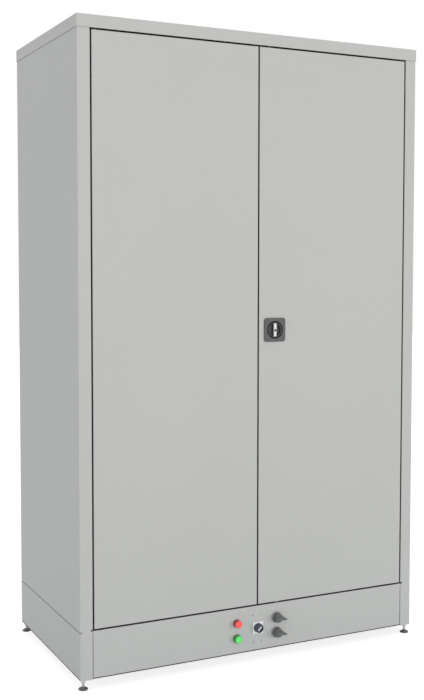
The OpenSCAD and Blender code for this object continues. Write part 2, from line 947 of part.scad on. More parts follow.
// Exhaust spigot with its flange on the roof
module exhaust_spigot() {
    color("silver") in_place() translate([0, spigot_back, body_h]) difference() {
        union() {
            cylinder(r = spigot_r, h = spigot_h);
            cylinder(r = spigot_r + 18, h = sheet);
        }
        translate([0, 0, -past]) cylinder(r = spigot_r - sheet, h = spigot_h + 2 * past);
    }
}

// Nylon bush with a rim, pointing up from its rim
module bush(bore_r, length) {
    rotate_extrude() {
        strip([bore_r, -bush_rim_t], [bush_hole_r + 3, 0]);
        strip([bore_r, -bush_rim_t], [bush_hole_r - press_room, length]);
    }
}

module hinge_bushes() {
    color("whitesmoke") in_place() on_both_sides() translate([pivot_x, pivot_back, 0]) {
        translate([0, 0, cap_z]) bush(pivot_r + run_fit, bush_l);
        translate([0, 0, base_top]) mirror([0, 0, 1]) bush(pivot_r + run_fit, bush_l);
    }
}

// Bushes in the header and the sill that take the locking rods
module keep() {
    rotate_extrude() {
        strip([keep_r, -1.5], [keep_hole_r + 1.5, 0]);
        strip([keep_r, -1.5], [keep_hole_r - press_room, 5]);
    }
}

module lock_keeps() {
    color("whitesmoke") in_place() {
        translate([lock_x - rod_x, rod_y, cap_z]) keep();
        translate([lock_x + rod_x, rod_y, base_top]) mirror([0, 0, 1]) keep();
    }
}

// Magnet catches behind the stops, with their noses through the windows
module magnet_catch(z0, z1) {
    nose = catch_w / 2 - 1;
    case = catch_w / 2 + 6;
    back = stop_y + sheet;
    block([-catch_x - nose, catch_face, z0 + 1], [-catch_x + nose, back + 2, z1 - 1]);
    block([-catch_x - case, back, z0 - 1], [-catch_x + case, back + 12, z1 + 1]);
}

module magnet_catches() {
    color("dimgray") in_place() {
        magnet_catch(cap_z - stop_h + 2, cap_z - 2);
        magnet_catch(base_top + 2, base_top + stop_h - 2);
    }
}

// Steel strips on the left door that meet the magnets
module catch_plates() {
    w = catch_w / 2 + 4;
    y1 = catch_face - slack;
    color("silver") in_place() {
        block([-catch_x - w, door_depth, door_z1 - lip_w + 1], [-catch_x + w, y1, door_z1 - 1]);
        block([-catch_x - w, door_depth, door_z0 + 1], [-catch_x + w, y1, door_z0 + lip_w - 1]);
    }
}

// Foam strips on the door stops, left out at the catches
module stop_seals() {
    free = catch_w / 2 + 8;
    spans = [[-stop_x, -catch_x - free], [free - catch_x, stop_x]];
    color("black") in_place() for (span = spans) {
        block([span[0], door_depth + slack, cap_z - stop_h + 1], [span[1], stop_y, door_z1 - 1]);
        block([span[0], door_depth + slack, door_z0 + 1], [span[1], stop_y, base_top + stop_h - 1]);
    }
}

// Doors

// Folded pan of the right leaf: skin, four edges and rear lips
module door_pan() {
    difference() {
        folded_box([door_x0, 0, door_z0], [door_x1, door_depth, door_z1]);
        block(
            [door_x0 + sheet, sheet, door_z0 + sheet],
            [door_x1 - sheet, door_depth - sheet, door_z1 - sheet]
        );
        block(
            [door_x0 + lip_w, sheet, door_z0 + lip_w],
            [door_x1 - lip_w, door_depth + past, door_z1 - lip_w]
        );
        for (z = [door_z0, door_z1])
            sheet_hole([pivot_x, pivot_back, z], pivot_r + 0.1);
        for (x = [door_x0, door_x1], z = [door_z0, door_z1])
            lip_mitre(x, z);
    }
}

// Slit between two rear lips where they meet at a corner of the pan
module lip_mitre(x, z) {
    way = z < body_h / 2 ? 1 : -1;
    turn = x < half_w / 2 ? 45 : 135;
    translate([x, door_depth, z]) rotate([0, -way * turn, 0])
        cube([3 * lip_w, 2 * sheet + past, 0.6], center = true);
}

module door_left() {
    color("lightgray") in_place() on_left() door_pan();
}

module door_right() {
    color("lightgray") in_place() difference() {
        door_pan();
        translate([lock_x, 0, lock_z]) shaft_y(dish_r + dish_wall + 0.2, -past, sheet + past);
        sheet_hole([lock_x - rod_x, rod_y, door_z1], rod_hole_r);
        sheet_hole([lock_x + rod_x, rod_y, door_z0], rod_hole_r);
    }
}

// Hat-section rib up the middle of a leaf
module door_brace() {
    z0 = door_z0 + lip_w + 5;
    z1 = door_z1 - lip_w - 5;
    w = brace_w / 2;
    translate([brace_x, sheet, z0]) linear_extrude(z1 - z0) {
        strip([-w, brace_d - sheet], [w, brace_d]);
        on_both_sides() {
            strip([w - sheet, 0], [w, brace_d]);
            strip([w - sheet, 0], [w + hem_w, sheet]);
        }
    }
}

module door_left_brace() {
    color("silver") in_place() on_left() door_brace();
}

module door_right_brace() {
    color("silver") in_place() door_brace();
}

module pin(z0, z1) {
    translate([0, 0, z0]) cylinder(r = pivot_r, h = z1 - z0);
}

// Pivot pins in steel blocks inside the hinge edge, the lower one with a thrust collar
module door_pivots() {
    block_x1 = door_x1 - sheet;
    for (low = [door_z0 + sheet, door_z1 - sheet - pin_block[2]])
        block(
            [block_x1 - pin_block[0], sheet, low],
            [block_x1, sheet + pin_block[1], low + pin_block[2]]
        );
    translate([pivot_x, pivot_back, 0]) {
        pin(door_z1 - 2 * sheet, cap_z + bush_l - 1);
        pin(base_top - bush_l + 1, door_z0 + 2 * sheet);
        translate([0, 0, base_top + bush_rim_t + 0.1])
            cylinder(r = pivot_r + 3, h = door_gap - bush_rim_t - 0.1);
    }
}

module door_left_pivots() {
    color("gray") in_place() on_left() door_pivots();
}

module door_right_pivots() {
    color("gray") in_place() door_pivots();
}

// Rubber strip on the left leaf's free edge
module door_left_seal() {
    color("black") in_place()
        block([-door_x0, 3, door_z0 + 1], [door_x0 - 2, door_depth - 3, door_z1 - 1]);
}

// Lock, drawn round its own centre

module at_lock() {
    in_place() translate([lock_x, 0, lock_z]) children();
}

// Plastic plate with a round dish behind it and a bearing for the spindle
module lock_housing() {
    color("dimgray") at_lock() difference() {
        union() {
            upright(-lock_plate_t, 0) round_rect(lock_plate_w, lock_plate_w, lock_corner);
            shaft_y(dish_r + dish_wall, -lock_plate_t + 1, dish_depth + dish_floor);
        }
        shaft_y(dish_r - rim_w, -lock_plate_t - past, dish_depth);
        shaft_y(spindle_r + run_fit, dish_depth - past, dish_depth + dish_floor + past);
        upright(-lock_plate_t - past, rim_groove - lock_plate_t) ring(dish_r + rim_groove, dish_r);
    }
}

// Rotor: a cup with two finger hollows, one on each side of the grip
module lock_rotor() {
    color("dimgray") at_lock() difference() {
        shaft_y(rotor_r, -lock_plate_t, rotor_back);
        upright(-lock_plate_t - past, cup_floor_y) difference() {
            circle(rotor_r - rotor_wall);
            square([grip_w + 2 * grip_cheek, 2 * rotor_r], center = true);
        }
        upright(-lock_plate_t - past, cup_floor_y) round_rect(grip_w, grip_h, grip_corner);
    }
}

// Bright grip bar with the bore of the key barrel
module lock_grip() {
    crown_r = 1.5;
    color("silver") at_lock() difference() {
        intersection() {
            upright(-grip_front, cup_floor_y) round_rect(grip_w, grip_h, grip_corner);
            translate([0, cup_floor_y / 2, -grip_h]) linear_extrude(2 * grip_h)
                round_rect(grip_w, 2 * grip_front + cup_floor_y, crown_r);
        }
        translate([0, 0, -barrel_drop])
            shaft_y(barrel_r + run_fit, -grip_front - past, cup_floor_y + past);
    }
}

// Key barrel with its keyway
module key_barrel() {
    color("gray") at_lock() translate([0, 0, -barrel_drop]) difference() {
        shaft_y(barrel_r, -grip_front - 0.3, cup_floor_y - slack);
        upright(-grip_front - past, cup_floor_y - 3) {
            square([1.1, 5.6], center = true);
            translate([0.5, 0.8]) square([1.1, 1.6], center = true);
        }
    }
}

function involute(angle) = tan(angle) * 180 / PI - angle;

// One tooth, symmetrical about +X, with involute flanks
module pinion_tooth() {
    base_r = pitch_r * cos(pressure);
    tip_r = pitch_r + tooth_up;
    half = 90 / gear_teeth - backlash / 2 / pitch_r * 180 / PI;
    steps = 5;
    flank = [
        for (i = [0 : steps])
            let (
                r = base_r + (tip_r - base_r) * i / steps,
                a = half + involute(pressure) - involute(acos(base_r / r))
            )
            [r * cos(a), r * sin(a)]
    ];
    foot = [flank[0][0] - (base_r - pitch_r + tooth_down) - 1, flank[0][1]];
    upper = concat([foot], flank);
    lower = [for (i = [len(upper) - 1 : -1 : 0]) [upper[i][0], -upper[i][1]]];
    polygon(concat(upper, lower));
}

// Spindle with the pinion that drives both rods
module lock_pinion() {
    color("silver") at_lock() {
        shaft_y(spindle_r, rotor_back, drive_y0 + 1);
        upright(drive_y0, drive_y0 + drive_t) {
            circle(pitch_r - tooth_down);
            for (i = [0 : gear_teeth - 1])
                rotate(i * 360 / gear_teeth) pinion_tooth();
        }
        shaft_y(journal_r, drive_y0 + drive_t - 1, case_back + sheet);
    }
}

// Rack to the right of the pinion, its gaps in mesh at rest
module rack_outline() {
    pitch = PI * gear_m;
    lean = tan(pressure);
    half_at = pitch / 4 - backlash / 2;
    count = floor((rack_half - 2) / pitch);
    strip([pitch_r + tooth_down, -rack_half], [pitch_r + tooth_down + rack_w, rack_half]);
    for (i = [-count : count - 1])
        translate([pitch_r, (i + 0.5) * pitch]) polygon([
            [-tooth_up, half_at - tooth_up * lean],
            [tooth_down + 0.5, half_at + tooth_down * lean],
            [tooth_down + 0.5, -half_at - tooth_down * lean],
            [-tooth_up, tooth_up * lean - half_at]
        ]);
}

module rack() {
    upright(drive_y0, drive_y0 + drive_t) rack_outline();
}

// Round rod with a tapered tip
module rod(length) {
    taper = 2;
    cylinder(r = rod_r, h = length - taper);
    translate([0, 0, length - taper]) cylinder(r1 = rod_r, r2 = rod_r - 1.5, h = taper);
}

module rod_top() {
    tip_z = door_z1 - rod_end_inset - lock_z;
    color("silver") at_lock() {
        on_left() rack();
        translate([-rod_x, rod_y, rack_half - 1]) rod(tip_z - rack_half + 1);
    }
}

module rod_bottom() {
    tip_z = lock_z - door_z0 - rod_end_inset;
    color("silver") at_lock() mirror([0, 0, 1]) {
        rack();
        translate([rod_x, rod_y, rack_half - 1]) rod(tip_z - rack_half + 1);
    }
}

// Folded case: rear plate with the spindle's bearing, two walls and feet on the skin
module lock_case() {
    room = rod_r + 0.5;
    color("silver") at_lock() difference() {
        union() {
            block([-case_x, case_back, -case_z], [case_x, case_back + sheet, case_z]);
            for (side = [-1, 1]) scale([1, 1, side]) {
                block([-case_x, sheet, case_z - sheet], [case_x, case_back + sheet, case_z]);
                block([-case_x, sheet, case_z - sheet], [case_x, 2 * sheet, case_z + 12]);
            }
        }
        shaft_y(journal_r + run_fit, case_back - past, case_back + sheet + past);
        for (x = [-rod_x, rod_x])
            block([x - room, rod_y - room, -case_z - past], [x + room, rod_y + room, case_z + past]);
    }
}

// Guides along the rods: blocks on the skin and bushes at the pan's edges
module rod_guides() {
    color("whitesmoke") at_lock() {
        guide_block(-rod_x, (door_z1 - lock_z) / 2);
        guide_block(rod_x, -(lock_z - door_z0) / 2);
        translate([-rod_x, rod_y, door_z1 - lock_z - sheet - 8]) edge_guide();
        translate([rod_x, rod_y, door_z0 - lock_z + sheet]) edge_guide();
    }
}

module guide_block(x, z) {
    difference() {
        block([x - 9, sheet, z - 10], [x + 9, rod_y + rod_r + 1.6, z + 10]);
        translate([x, rod_y, z - 11]) cylinder(r = rod_r + run_fit, h = 22);
    }
}

module edge_guide() {
    difference() {
        translate([-8, sheet - rod_y, 0]) cube([16, rod_y + rod_r + 1 - sheet, 8]);
        translate([0, 0, -1]) cylinder(r = rod_r + run_fit, h = 10);
    }
}

// Feet

// Coned nut under the base, neck through the sheet and threaded insert above
module foot_socket() {
    difference() {
        union() {
            translate([0, 0, foot_h - nut_h]) cylinder(r1 = neck_r - 1, r2 = neck_r + 3, h = nut_h);
            translate([0, 0, foot_h - 1]) cylinder(r = neck_r, h = sheet + 2);
            translate([0, 0, foot_h + sheet]) cylinder(r = socket_r, h = socket_l);
        }
        translate([0, 0, foot_h - nut_h - past])
            cylinder(r = stem_r + run_fit, h = socket_l + nut_h + 2 * past + sheet);
    }
}

module foot_sockets() {
    color("silver") in_place() on_both_sides() for (y = [foot_in, body_d - foot_in])
        translate([half_w - foot_in, y, 0]) foot_socket();
}

// Levelling foot: coned pad on a stem
module foot(side, y) {
    color("dimgray") in_place() translate([side * (half_w - foot_in), y, 0])
        rotate_extrude() polygon([
            [0, 0], [foot_r - 0.8, 0], [foot_r, 0.8], [foot_r, 3.5], [foot_r - 1, 4.5],
            [8, 6.5], [6, 9], [stem_r, 9], [stem_r, foot_h + stem_up], [0, foot_h + stem_up]
        ]);
}

module foot_front_left() {
    foot(-1, foot_in);
}

module foot_front_right() {
    foot(1, foot_in);
}

module foot_rear_left() {
    foot(-1, body_d - foot_in);
}

module foot_rear_right() {
    foot(1, body_d - foot_in);
}

side_left();
side_right();
back_panel();
roof_cap();
roof_brace();
front_header();
front_sill();
base_front();
base_sides();
base_back();
base_floor();
floor_grilles();
floor_beams();
hanger_rail();
rail_brackets();
hat_shelf();
shelf_ledges();
shoe_rack_lower();
shoe_rack_upper();
heaters();
fan_housings();
thermostat_plate();
lamp_red();
lamp_green();
control_bodies();
switch_plates();
cable_gland();
exhaust_spigot();
hinge_bushes();
magnet_catches();
lock_keeps();
stop_seals();
foot_sockets();
door_left();
door_left_brace();
door_left_pivots();
door_left_seal();
catch_plates();
door_right();
door_right_brace();
door_right_pivots();
lock_housing();
lock_case();
rod_guides();
lock_rotor();
lock_grip();
lock_pinion();
key_barrel();
rod_top();
rod_bottom();
switch_knob_upper();
switch_knob_lower();
thermostat_knob();
thermostat_pointer();
fan_left();
fan_right();
foot_front_left();
foot_front_right();
foot_rear_left();
foot_rear_right();
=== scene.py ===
"""Looks of a two-door drying cabinet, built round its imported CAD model."""

import logging
import math
from dataclasses import dataclass, field
from enum import Enum
from typing import Any, Iterable, Sequence

import bmesh
import bpy
from mathutils import Matrix, Vector


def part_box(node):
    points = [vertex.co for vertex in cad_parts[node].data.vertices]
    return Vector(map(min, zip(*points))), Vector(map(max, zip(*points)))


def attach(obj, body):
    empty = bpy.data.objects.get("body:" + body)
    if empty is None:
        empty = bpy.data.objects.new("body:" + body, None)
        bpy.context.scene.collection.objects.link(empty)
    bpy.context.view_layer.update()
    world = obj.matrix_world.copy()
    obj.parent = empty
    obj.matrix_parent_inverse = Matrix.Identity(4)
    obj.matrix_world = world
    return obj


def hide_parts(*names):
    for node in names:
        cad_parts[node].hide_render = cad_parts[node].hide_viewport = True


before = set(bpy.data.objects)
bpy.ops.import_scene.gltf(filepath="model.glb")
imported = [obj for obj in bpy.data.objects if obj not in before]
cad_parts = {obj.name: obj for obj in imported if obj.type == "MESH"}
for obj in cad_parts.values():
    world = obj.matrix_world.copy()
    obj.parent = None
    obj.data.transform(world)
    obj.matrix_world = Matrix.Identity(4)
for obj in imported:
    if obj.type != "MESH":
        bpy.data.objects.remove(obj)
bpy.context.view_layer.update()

LOG = logging.getLogger("drying_cabinet")
MM = 0.001
SHARP_ANGLE = math.radians(40)
ON_AXIS = 1e-9
WELD = 1e-6
NOISE_ROUGHNESS = 0.55
OCCLUSION_SAMPLES = 8
MIX_FACTOR, MIX_FIRST, MIX_SECOND, MIX_RESULT = 0, 6, 7, 2
FRONT, BACK, UP = Vector((0, -1, 0)), Vector((0, 1, 0)), Vector((0, 0, 1))
Colour = tuple[float, float, float]
Outline = list[tuple[float, float]]


# ---------------------------------------------------------------- shader graph


class Signal:
    """An output socket of a shader graph that can stand in a Python expression."""

    def __init__(self, graph: "Graph", socket: bpy.types.NodeSocket) -> None:
        """Keeps the graph and the socket.

        Args:
            graph: The graph that the socket belongs to.
            socket: The output socket that carries the value.
        """
        self.graph = graph
        self.socket = socket

    def __add__(self, other: "Signal | float") -> "Signal":
        """Adds a value."""
        return self.graph.maths("ADD", self, other)

    def __sub__(self, other: "Signal | float") -> "Signal":
        """Takes a value away."""
        return self.graph.maths("SUBTRACT", self, other)

    def __mul__(self, other: "Signal | float") -> "Signal":
        """Multiplies by a value."""
        return self.graph.maths("MULTIPLY", self, other)

    def __truediv__(self, other: "Signal | float") -> "Signal":
        """Divides by a value."""
        return self.graph.maths("DIVIDE", self, other)

    def __radd__(self, other: float) -> "Signal":
        """Adds to a number on the left."""
        return self.graph.maths("ADD", other, self)

    def __rsub__(self, other: float) -> "Signal":
        """Takes this value from a number on the left."""
        return self.graph.maths("SUBTRACT", other, self)

    def __rmul__(self, other: float) -> "Signal":
        """Multiplies a number on the left."""
        return self.graph.maths("MULTIPLY", other, self)

    def __rtruediv__(self, other: float) -> "Signal":
        """Divides a number on the left."""
        return self.graph.maths("DIVIDE", other, self)

    def clamped(self) -> "Signal":
        """Limits the value to the range 0 to 1."""
        return self.graph.maths("MULTIPLY", self, 1.0, clamp=True)


class Graph:
    """The node tree of one material, with its Principled shader."""

    def __init__(self, name: str) -> None:
        """Makes the material and finds its shader.

        Args:
            name: The material's name.
        """
        self.material = bpy.data.materials.new(name)
        self.material.use_nodes = True
        self.tree = self.material.node_tree
        self.tree.nodes.clear()
        self.shader = self.tree.nodes.new("ShaderNodeBsdfPrincipled")
        self.output = self.tree.nodes.new("ShaderNodeOutputMaterial")
        self.tree.links.new(self.shader.outputs[0], self.output.inputs["Surface"])

    def add(self, kind: str, settings: dict[str, Any] | None = None,
            inputs: dict[Any, Any] | None = None) -> bpy.types.Node:
        """Adds any node.

        Args:
            kind: The node's type name without its ShaderNode prefix.
            settings: Properties that are set first; stops is a ramp's list of (place, colour).
            inputs: Values or signals for its sockets, by name or number.

        Returns:
            The node.
        """
        node = self.tree.nodes.new("ShaderNode" + kind)
        for key, value in (settings or {}).items():
            if key == "stops":
                self._set_stops(node, value)
            else:
                setattr(node, key, value)
        for key, value in (inputs or {}).items():
            self.feed(node.inputs[key], value)
        return node

    @staticmethod
    def _set_stops(node: bpy.types.Node, stops: Sequence[tuple[float, Colour]]) -> None:
        """Sets a ramp's stops.

        Args:
            node: The ramp.
            stops: Places and colours in rising order.
        """
        elements = node.color_ramp.elements
        while len(elements) < len(stops):
            elements.new(0.5)
        for element, (place, colour) in zip(elements, stops):
            element.position = place
            element.color = (*colour, 1.0)

    def feed(self, socket: bpy.types.NodeSocket, value: Any) -> None:
        """Sets a socket to a value or links a signal to it.

        Args:
            socket: The input socket.
            value: A signal, a number, a colour or a vector.
        """
        if isinstance(value, Signal):
            self.tree.links.new(value.socket, socket)
        elif isinstance(value, tuple) and len(value) == 3 and socket.type == "RGBA":
            socket.default_value = (*value, 1.0)
        else:
            socket.default_value = value

    def maths(self, operation: str, first: "Signal | float", second: "Signal | float",
              clamp: bool = False) -> Signal:
        """Adds a Math node.

        Args:
            operation: The node's operation.
            first: The first value.
            second: The second value.
            clamp: Whether the result is limited to 0 to 1.

        Returns:
            The result.
        """
        settings = {"operation": operation, "use_clamp": clamp}
        node = self.add("Math", settings, {0: first, 1: second})
        return Signal(self, node.outputs[0])

    def mix(self, factor: "Signal | float", first: Any, second: Any) -> Signal:
        """Mixes two colours.

        Args:
            factor: How much of the second colour shows.
            first: The first colour.
            second: The second colour.

        Returns:
            The mixed colour.
        """
        inputs = {MIX_FACTOR: factor, MIX_FIRST: first, MIX_SECOND: second}
        node = self.add("Mix", {"data_type": "RGBA"}, inputs)
        return Signal(self, node.outputs[MIX_RESULT])

    def place(self, scale: tuple[float, float, float] = (1.0, 1.0, 1.0)) -> Signal:
        """Gives the place on the object in metres, stretched by a scale.

        Args:
            scale: Factors along the three axes.

        Returns:
            The vector.
        """
        where = self.add("TexCoord").outputs["Object"]
        return self.vector("MULTIPLY", Signal(self, where), scale)

    def vector(self, operation: str, first: Any, second: Any = None,
               output: int | str = 0) -> Signal:
        """Adds a Vector Math node.

        Args:
            operation: The node's operation.
            first: The first vector.
            second: The second vector, if the operation takes one.
            output: Which output is used.

        Returns:
            The result.
        """
        inputs = {0: first} if second is None else {0: first, 1: second}
        node = self.add("VectorMath", {"operation": operation}, inputs)
        return Signal(self, node.outputs[output])

    def noise(self, scale: float, detail: float = 3.0,
              stretch: tuple[float, float, float] = (1.0, 1.0, 1.0)) -> Signal:
        """Adds a noise texture.

        Args:
            scale: Features per metre.
            detail: Octaves.
            stretch: Factors along the three axes.

        Returns:
            The noise, about 0 to 1.
        """
        node = self.add("TexNoise", None, {"Vector": self.place(stretch), "Scale": scale,
                                           "Detail": detail, "Roughness": NOISE_ROUGHNESS})
        return Signal(self, node.outputs["Fac"])

    def cells(self, scale: float, output: str = "Distance") -> Signal:
        """Adds a Voronoi texture.

        Args:
            scale: Cells per metre.
            output: Which output is used.

        Returns:
            The chosen output.
        """
        node = self.add("TexVoronoi", None, {"Vector": self.place(), "Scale": scale})
        return Signal(self, node.outputs[output])

    def crevice_shade(self, reach: float, gain: float, start: float) -> Signal:
        """Finds the crevices, where shade falls, for painted shade.

        Args:
            reach: How near another surface has to be, in metres.
            gain: How fast the painted shade deepens with shelter.
            start: What is taken off, so that open faces stay unshaded.

        Returns:
            The painted shade, 0 to 1.
        """
        # Ambient occlusion darkens the colour in crevices and gaps: painted shade.
        room = self.add("AmbientOcclusion", {"samples": OCCLUSION_SAMPLES}, {"Distance": reach})
        return ((1.0 - Signal(self, room.outputs["AO"])) * gain - start).clamped()

    def height(self) -> Signal:
        """Gives the height above the object's origin, which lies in the floor, in metres."""
        split = self.add("SeparateXYZ", None, {0: self.place()})
        return Signal(self, split.outputs[2])

    def bump(self, height: Signal, strength: float, distance: float) -> None:
        """Feeds a height to the shader's normal through a Bump node.

        Args:
            height: The height signal.
            strength: The bump's strength.
            distance: The height in metres of a value of 1.
        """
        inputs = {"Strength": strength, "Distance": distance, "Height": height}
        node = self.add("Bump", None, inputs)
        self.feed(self.shader.inputs["Normal"], Signal(self, node.outputs[0]))

    def set(self, **sockets: Any) -> None:
        """Sets the shader's sockets by name, with _ for a space.

        Args:
            sockets: Values or signals.
        """
        for key, value in sockets.items():
            self.feed(self.shader.inputs[key.replace("_", " ")], value)


def shade(colour: Colour, factor: float) -> Colour:
    """Makes a colour lighter or darker.

    Args:
        colour: A linear colour.
        factor: What it is multiplied by.

    Returns:
        The new colour.
    """
    return tuple(min(1.0, part * factor) for part in colour)


# -------------------------------------------------------------------- finishes


@dataclass(frozen=True)
class Finish:
    """A surface finish with a linear colour, a roughness and a name."""

    name: str
    colour: Colour
    roughness: float

    def graph(self) -> Graph:
        """Makes the graph with the finish's plain values."""
        graph = Graph(self.name)
        graph.set(Base_Color=self.colour, Roughness=self.roughness)
        return graph

    def between(self, graph: Graph, factor: Signal, tones: tuple[float, float]) -> Signal:
        """Mixes two shades of the finish's colour.

        Args:
            graph: The material's graph.
            factor: How much of the second shade shows.
            tones: What the colour is multiplied by in the two shades.

        Returns:
            The mixed colour.
        """
        return graph.mix(factor, *(shade(self.colour, tone) for tone in tones))

    def build(self) -> bpy.types.Material:
        """Makes the material."""
        return self.graph().material


@dataclass(frozen=True)
class PowderCoat(Finish):
    """Sprayed and baked paint: orange peel, dust and painted shade low down, painted shade in
    crevices and at the bottom edge.
    """

    grain: float = 620.0
    peel: float = 0.00016
    crevice: float = 0.012
    shadow_line_top: float = 0.0
    shadow_line_sharpness: float = 4000.0
    patches: float = 2.2
    patch_tones: tuple[float, float] = (0.975, 1.02)
    patch_spread: tuple[float, float] = (0.9, 0.05)
    clouds: float = 14.0
    fleck: tuple[float, float] = (3.1, 0.35)
    # Dust together with painted cool shade towards the bottom:
    dust_and_shade: float = 0.22
    dust_and_shade_fade: float = 1.6
    dust_and_shade_tint: Colour = (0.87, 0.90, 0.97)
    crevice_shade_gain: float = 1.8
    crevice_shade_start: float = 0.45
    crevice_shade_tone: float = 0.06
    unevenness: tuple[float, float, float] = (0.10, 0.08, -0.09)
    specular: float = 0.09

    def build(self) -> bpy.types.Material:
        """Makes the material."""
        graph = self.graph()
        broad = graph.noise(self.patches, detail=2.0)
        fine = graph.noise(self.grain, detail=2.0)
        # Darker and cooler towards the bottom: dust together with painted shade.
        low = (1.0 - graph.height() * self.dust_and_shade_fade).clamped()
        gain, lift = self.patch_spread
        paint = self.between(graph, (broad * gain + lift).clamped(), self.patch_tones)
        dust_and_shade_colour = tuple(part * tint for part, tint in zip(self.colour, self.dust_and_shade_tint))
        with_dust_and_shade = graph.mix(low * self.dust_and_shade, paint, dust_and_shade_colour)
        # Painted shade in crevices and in the gaps between parts.
        crevice_shade = graph.crevice_shade(self.crevice, self.crevice_shade_gain, self.crevice_shade_start)
        # Painted shadow line: the colour goes dark below this height, along the sheets' bottom
        # edges.
        edge = ((self.shadow_line_top - graph.height()) * self.shadow_line_sharpness).clamped()
        dark = graph.maths("MAXIMUM", crevice_shade, edge)
        by_fine, by_cloud, shift = self.unevenness
        graph.set(Base_Color=graph.mix(dark, with_dust_and_shade, shade(self.colour, self.crevice_shade_tone)),
                  Roughness=(fine * by_fine + graph.noise(self.clouds) * by_cloud
                             + (self.roughness + shift)),
                  Specular_IOR_Level=self.specular)
        finer, part = self.fleck
        fleck = graph.noise(self.grain * finer, detail=1.0) * part
        graph.bump(fine + fleck, strength=0.55, distance=self.peel)
        return graph.material


@dataclass(frozen=True)
class ZincPlate(Finish):
    """Galvanised sheet with a faint spangle of crystals."""

    crystals: float = 95.0
    streaks: float = 60.0
    drawn: tuple[float, float, float] = (1.0, 1.0, 0.12)
    tones: tuple[float, float] = (0.86, 1.1)
    unevenness: tuple[float, float, float] = (0.12, 0.12, -0.1)
    metal: float = 0.92
    spangle_relief: float = 0.3
    depth: float = 0.0001

    def build(self) -> bpy.types.Material:
        """Makes the material."""
        graph = self.graph()
        cell = graph.add("SeparateColor", None, {0: graph.cells(self.crystals, "Color")})
        tint = Signal(graph, cell.outputs[0])
        streak = graph.noise(self.streaks, detail=4.0, stretch=self.drawn)
        by_tint, by_streak, shift = self.unevenness
        graph.set(Base_Color=self.between(graph, tint, self.tones), Metallic=self.metal,
                  Roughness=tint * by_tint + streak * by_streak + (self.roughness + shift))
        graph.bump(tint * self.spangle_relief + streak, strength=0.25, distance=self.depth)
        return graph.material


@dataclass(frozen=True)
class BrushedMetal(Finish):
    """Bare metal with drawing lines along one axis."""

    along: tuple[float, float, float] = (1.0, 1.0, 0.02)
    line_scale: float = 1500.0
    clouds: float = 35.0
    tones: tuple[float, float] = (0.84, 1.08)
    tone_parts: tuple[float, float] = (0.6, 0.3)
    unevenness: tuple[float, float, float] = (0.14, 0.08, -0.1)
    depth: float = 0.00005

    def build(self) -> bpy.types.Material:
        """Makes the material."""
        graph = self.graph()
        lines = graph.noise(self.line_scale, stretch=self.along)
        cloud = graph.noise(self.clouds)
        line_tone, cloud_tone = self.tone_parts
        tone = lines * line_tone + cloud * cloud_tone
        by_line, by_cloud, shift = self.unevenness
        graph.set(Base_Color=self.between(graph, tone, self.tones), Metallic=1.0,
                  Roughness=lines * by_line + cloud * by_cloud + (self.roughness + shift))
        graph.bump(lines, strength=0.22, distance=self.depth)
        return graph.material


@dataclass(frozen=True)
class BrightPlate(Finish):
    """Polished plating with faint smears."""

    smears: float = 28.0
    grain: float = 420.0
    tones: tuple[float, float] = (0.94, 1.0)
    unevenness: tuple[float, float] = (0.16, 0.3)
    depth: float = 0.00005

    def build(self) -> bpy.types.Material:
        """Makes the material."""
        graph = self.graph()
        smear = graph.noise(self.smears, detail=4.0)
        by_smear, level = self.unevenness
        graph.set(Base_Color=self.between(graph, smear, self.tones),
                  Metallic=1.0, Roughness=(smear - level) * by_smear + self.roughness)
        graph.bump(graph.noise(self.grain, detail=2.0), strength=0.06, distance=self.depth)
        return graph.material


@dataclass(frozen=True)
class MouldedPlastic(Finish):
    """Injection-moulded plastic with a spark-eroded grain and painted shade in its crevices."""

    grain: float = 1400.0
    depth: float = 0.00007
    crevice: float = 4.0 * MM
    clouds: float = 40.0
    tones: tuple[float, float] = (0.9, 1.1)
    crevice_shade_gain: float = 1.4
    crevice_shade_start: float = 0.25
    crevice_shade_tone: float = 0.15
    unevenness: tuple[float, float, float] = (0.16, 0.08, -0.1)

    def build(self) -> bpy.types.Material:
        """Makes the material."""
        graph = self.graph()
        pits = graph.cells(self.grain)
        cloud = graph.noise(self.clouds)
        skin = self.between(graph, cloud, self.tones)
        # Painted shade in crevices, where parts meet.
        crevice_shade = graph.crevice_shade(self.crevice, self.crevice_shade_gain, self.crevice_shade_start)
        by_pit, by_cloud, shift = self.unevenness
        graph.set(Base_Color=graph.mix(crevice_shade, skin, shade(self.colour, self.crevice_shade_tone)),
                  Roughness=pits * by_pit + cloud * by_cloud + (self.roughness + shift))
        graph.bump(pits, strength=0.5, distance=self.depth)
        return graph.material


@dataclass(frozen=True)
class Lens(Finish):
    """Translucent signal lens that glows in the middle of its face, its colour darker towards the
    rim as painted shade on its sides.
    """

    glow: float = 0.5
    core_r: float = 9.0 * MM
    edge_r: float = 12.6 * MM
    centre: tuple[float, float, float] = (0.0, 0.0, 0.0)
    ring_pitch: float = 0.0022
    ring_depth: float = 0.0002
    tones: tuple[float, float] = (0.30, 1.1)
    rim_glow: float = 0.04

    def build(self) -> bpy.types.Material:
        """Makes the material."""
        graph = self.graph()
        offset = graph.vector("SUBTRACT", graph.place(), self.centre)
        flat = graph.vector("MULTIPLY", offset, (1.0, 0.0, 1.0))
        radius = graph.vector("LENGTH", flat, output="Value")
        rings = graph.maths("SINE", radius * (2 * math.pi / self.ring_pitch), 0.0)
        # Colour darker towards the rim: painted shade on the lens' sides; the glow itself is the
        # lamp's own light.
        core = ((self.edge_r - radius) / (self.edge_r - self.core_r)).clamped()
        graph.set(Base_Color=self.between(graph, core, self.tones),
                  Emission_Color=graph.mix(core, shade(self.colour, self.rim_glow), self.colour),
                  Emission_Strength=self.glow, Coat_Weight=0.6, Coat_Roughness=0.08)
        graph.bump(rings, strength=0.35, distance=self.ring_depth)
        return graph.material


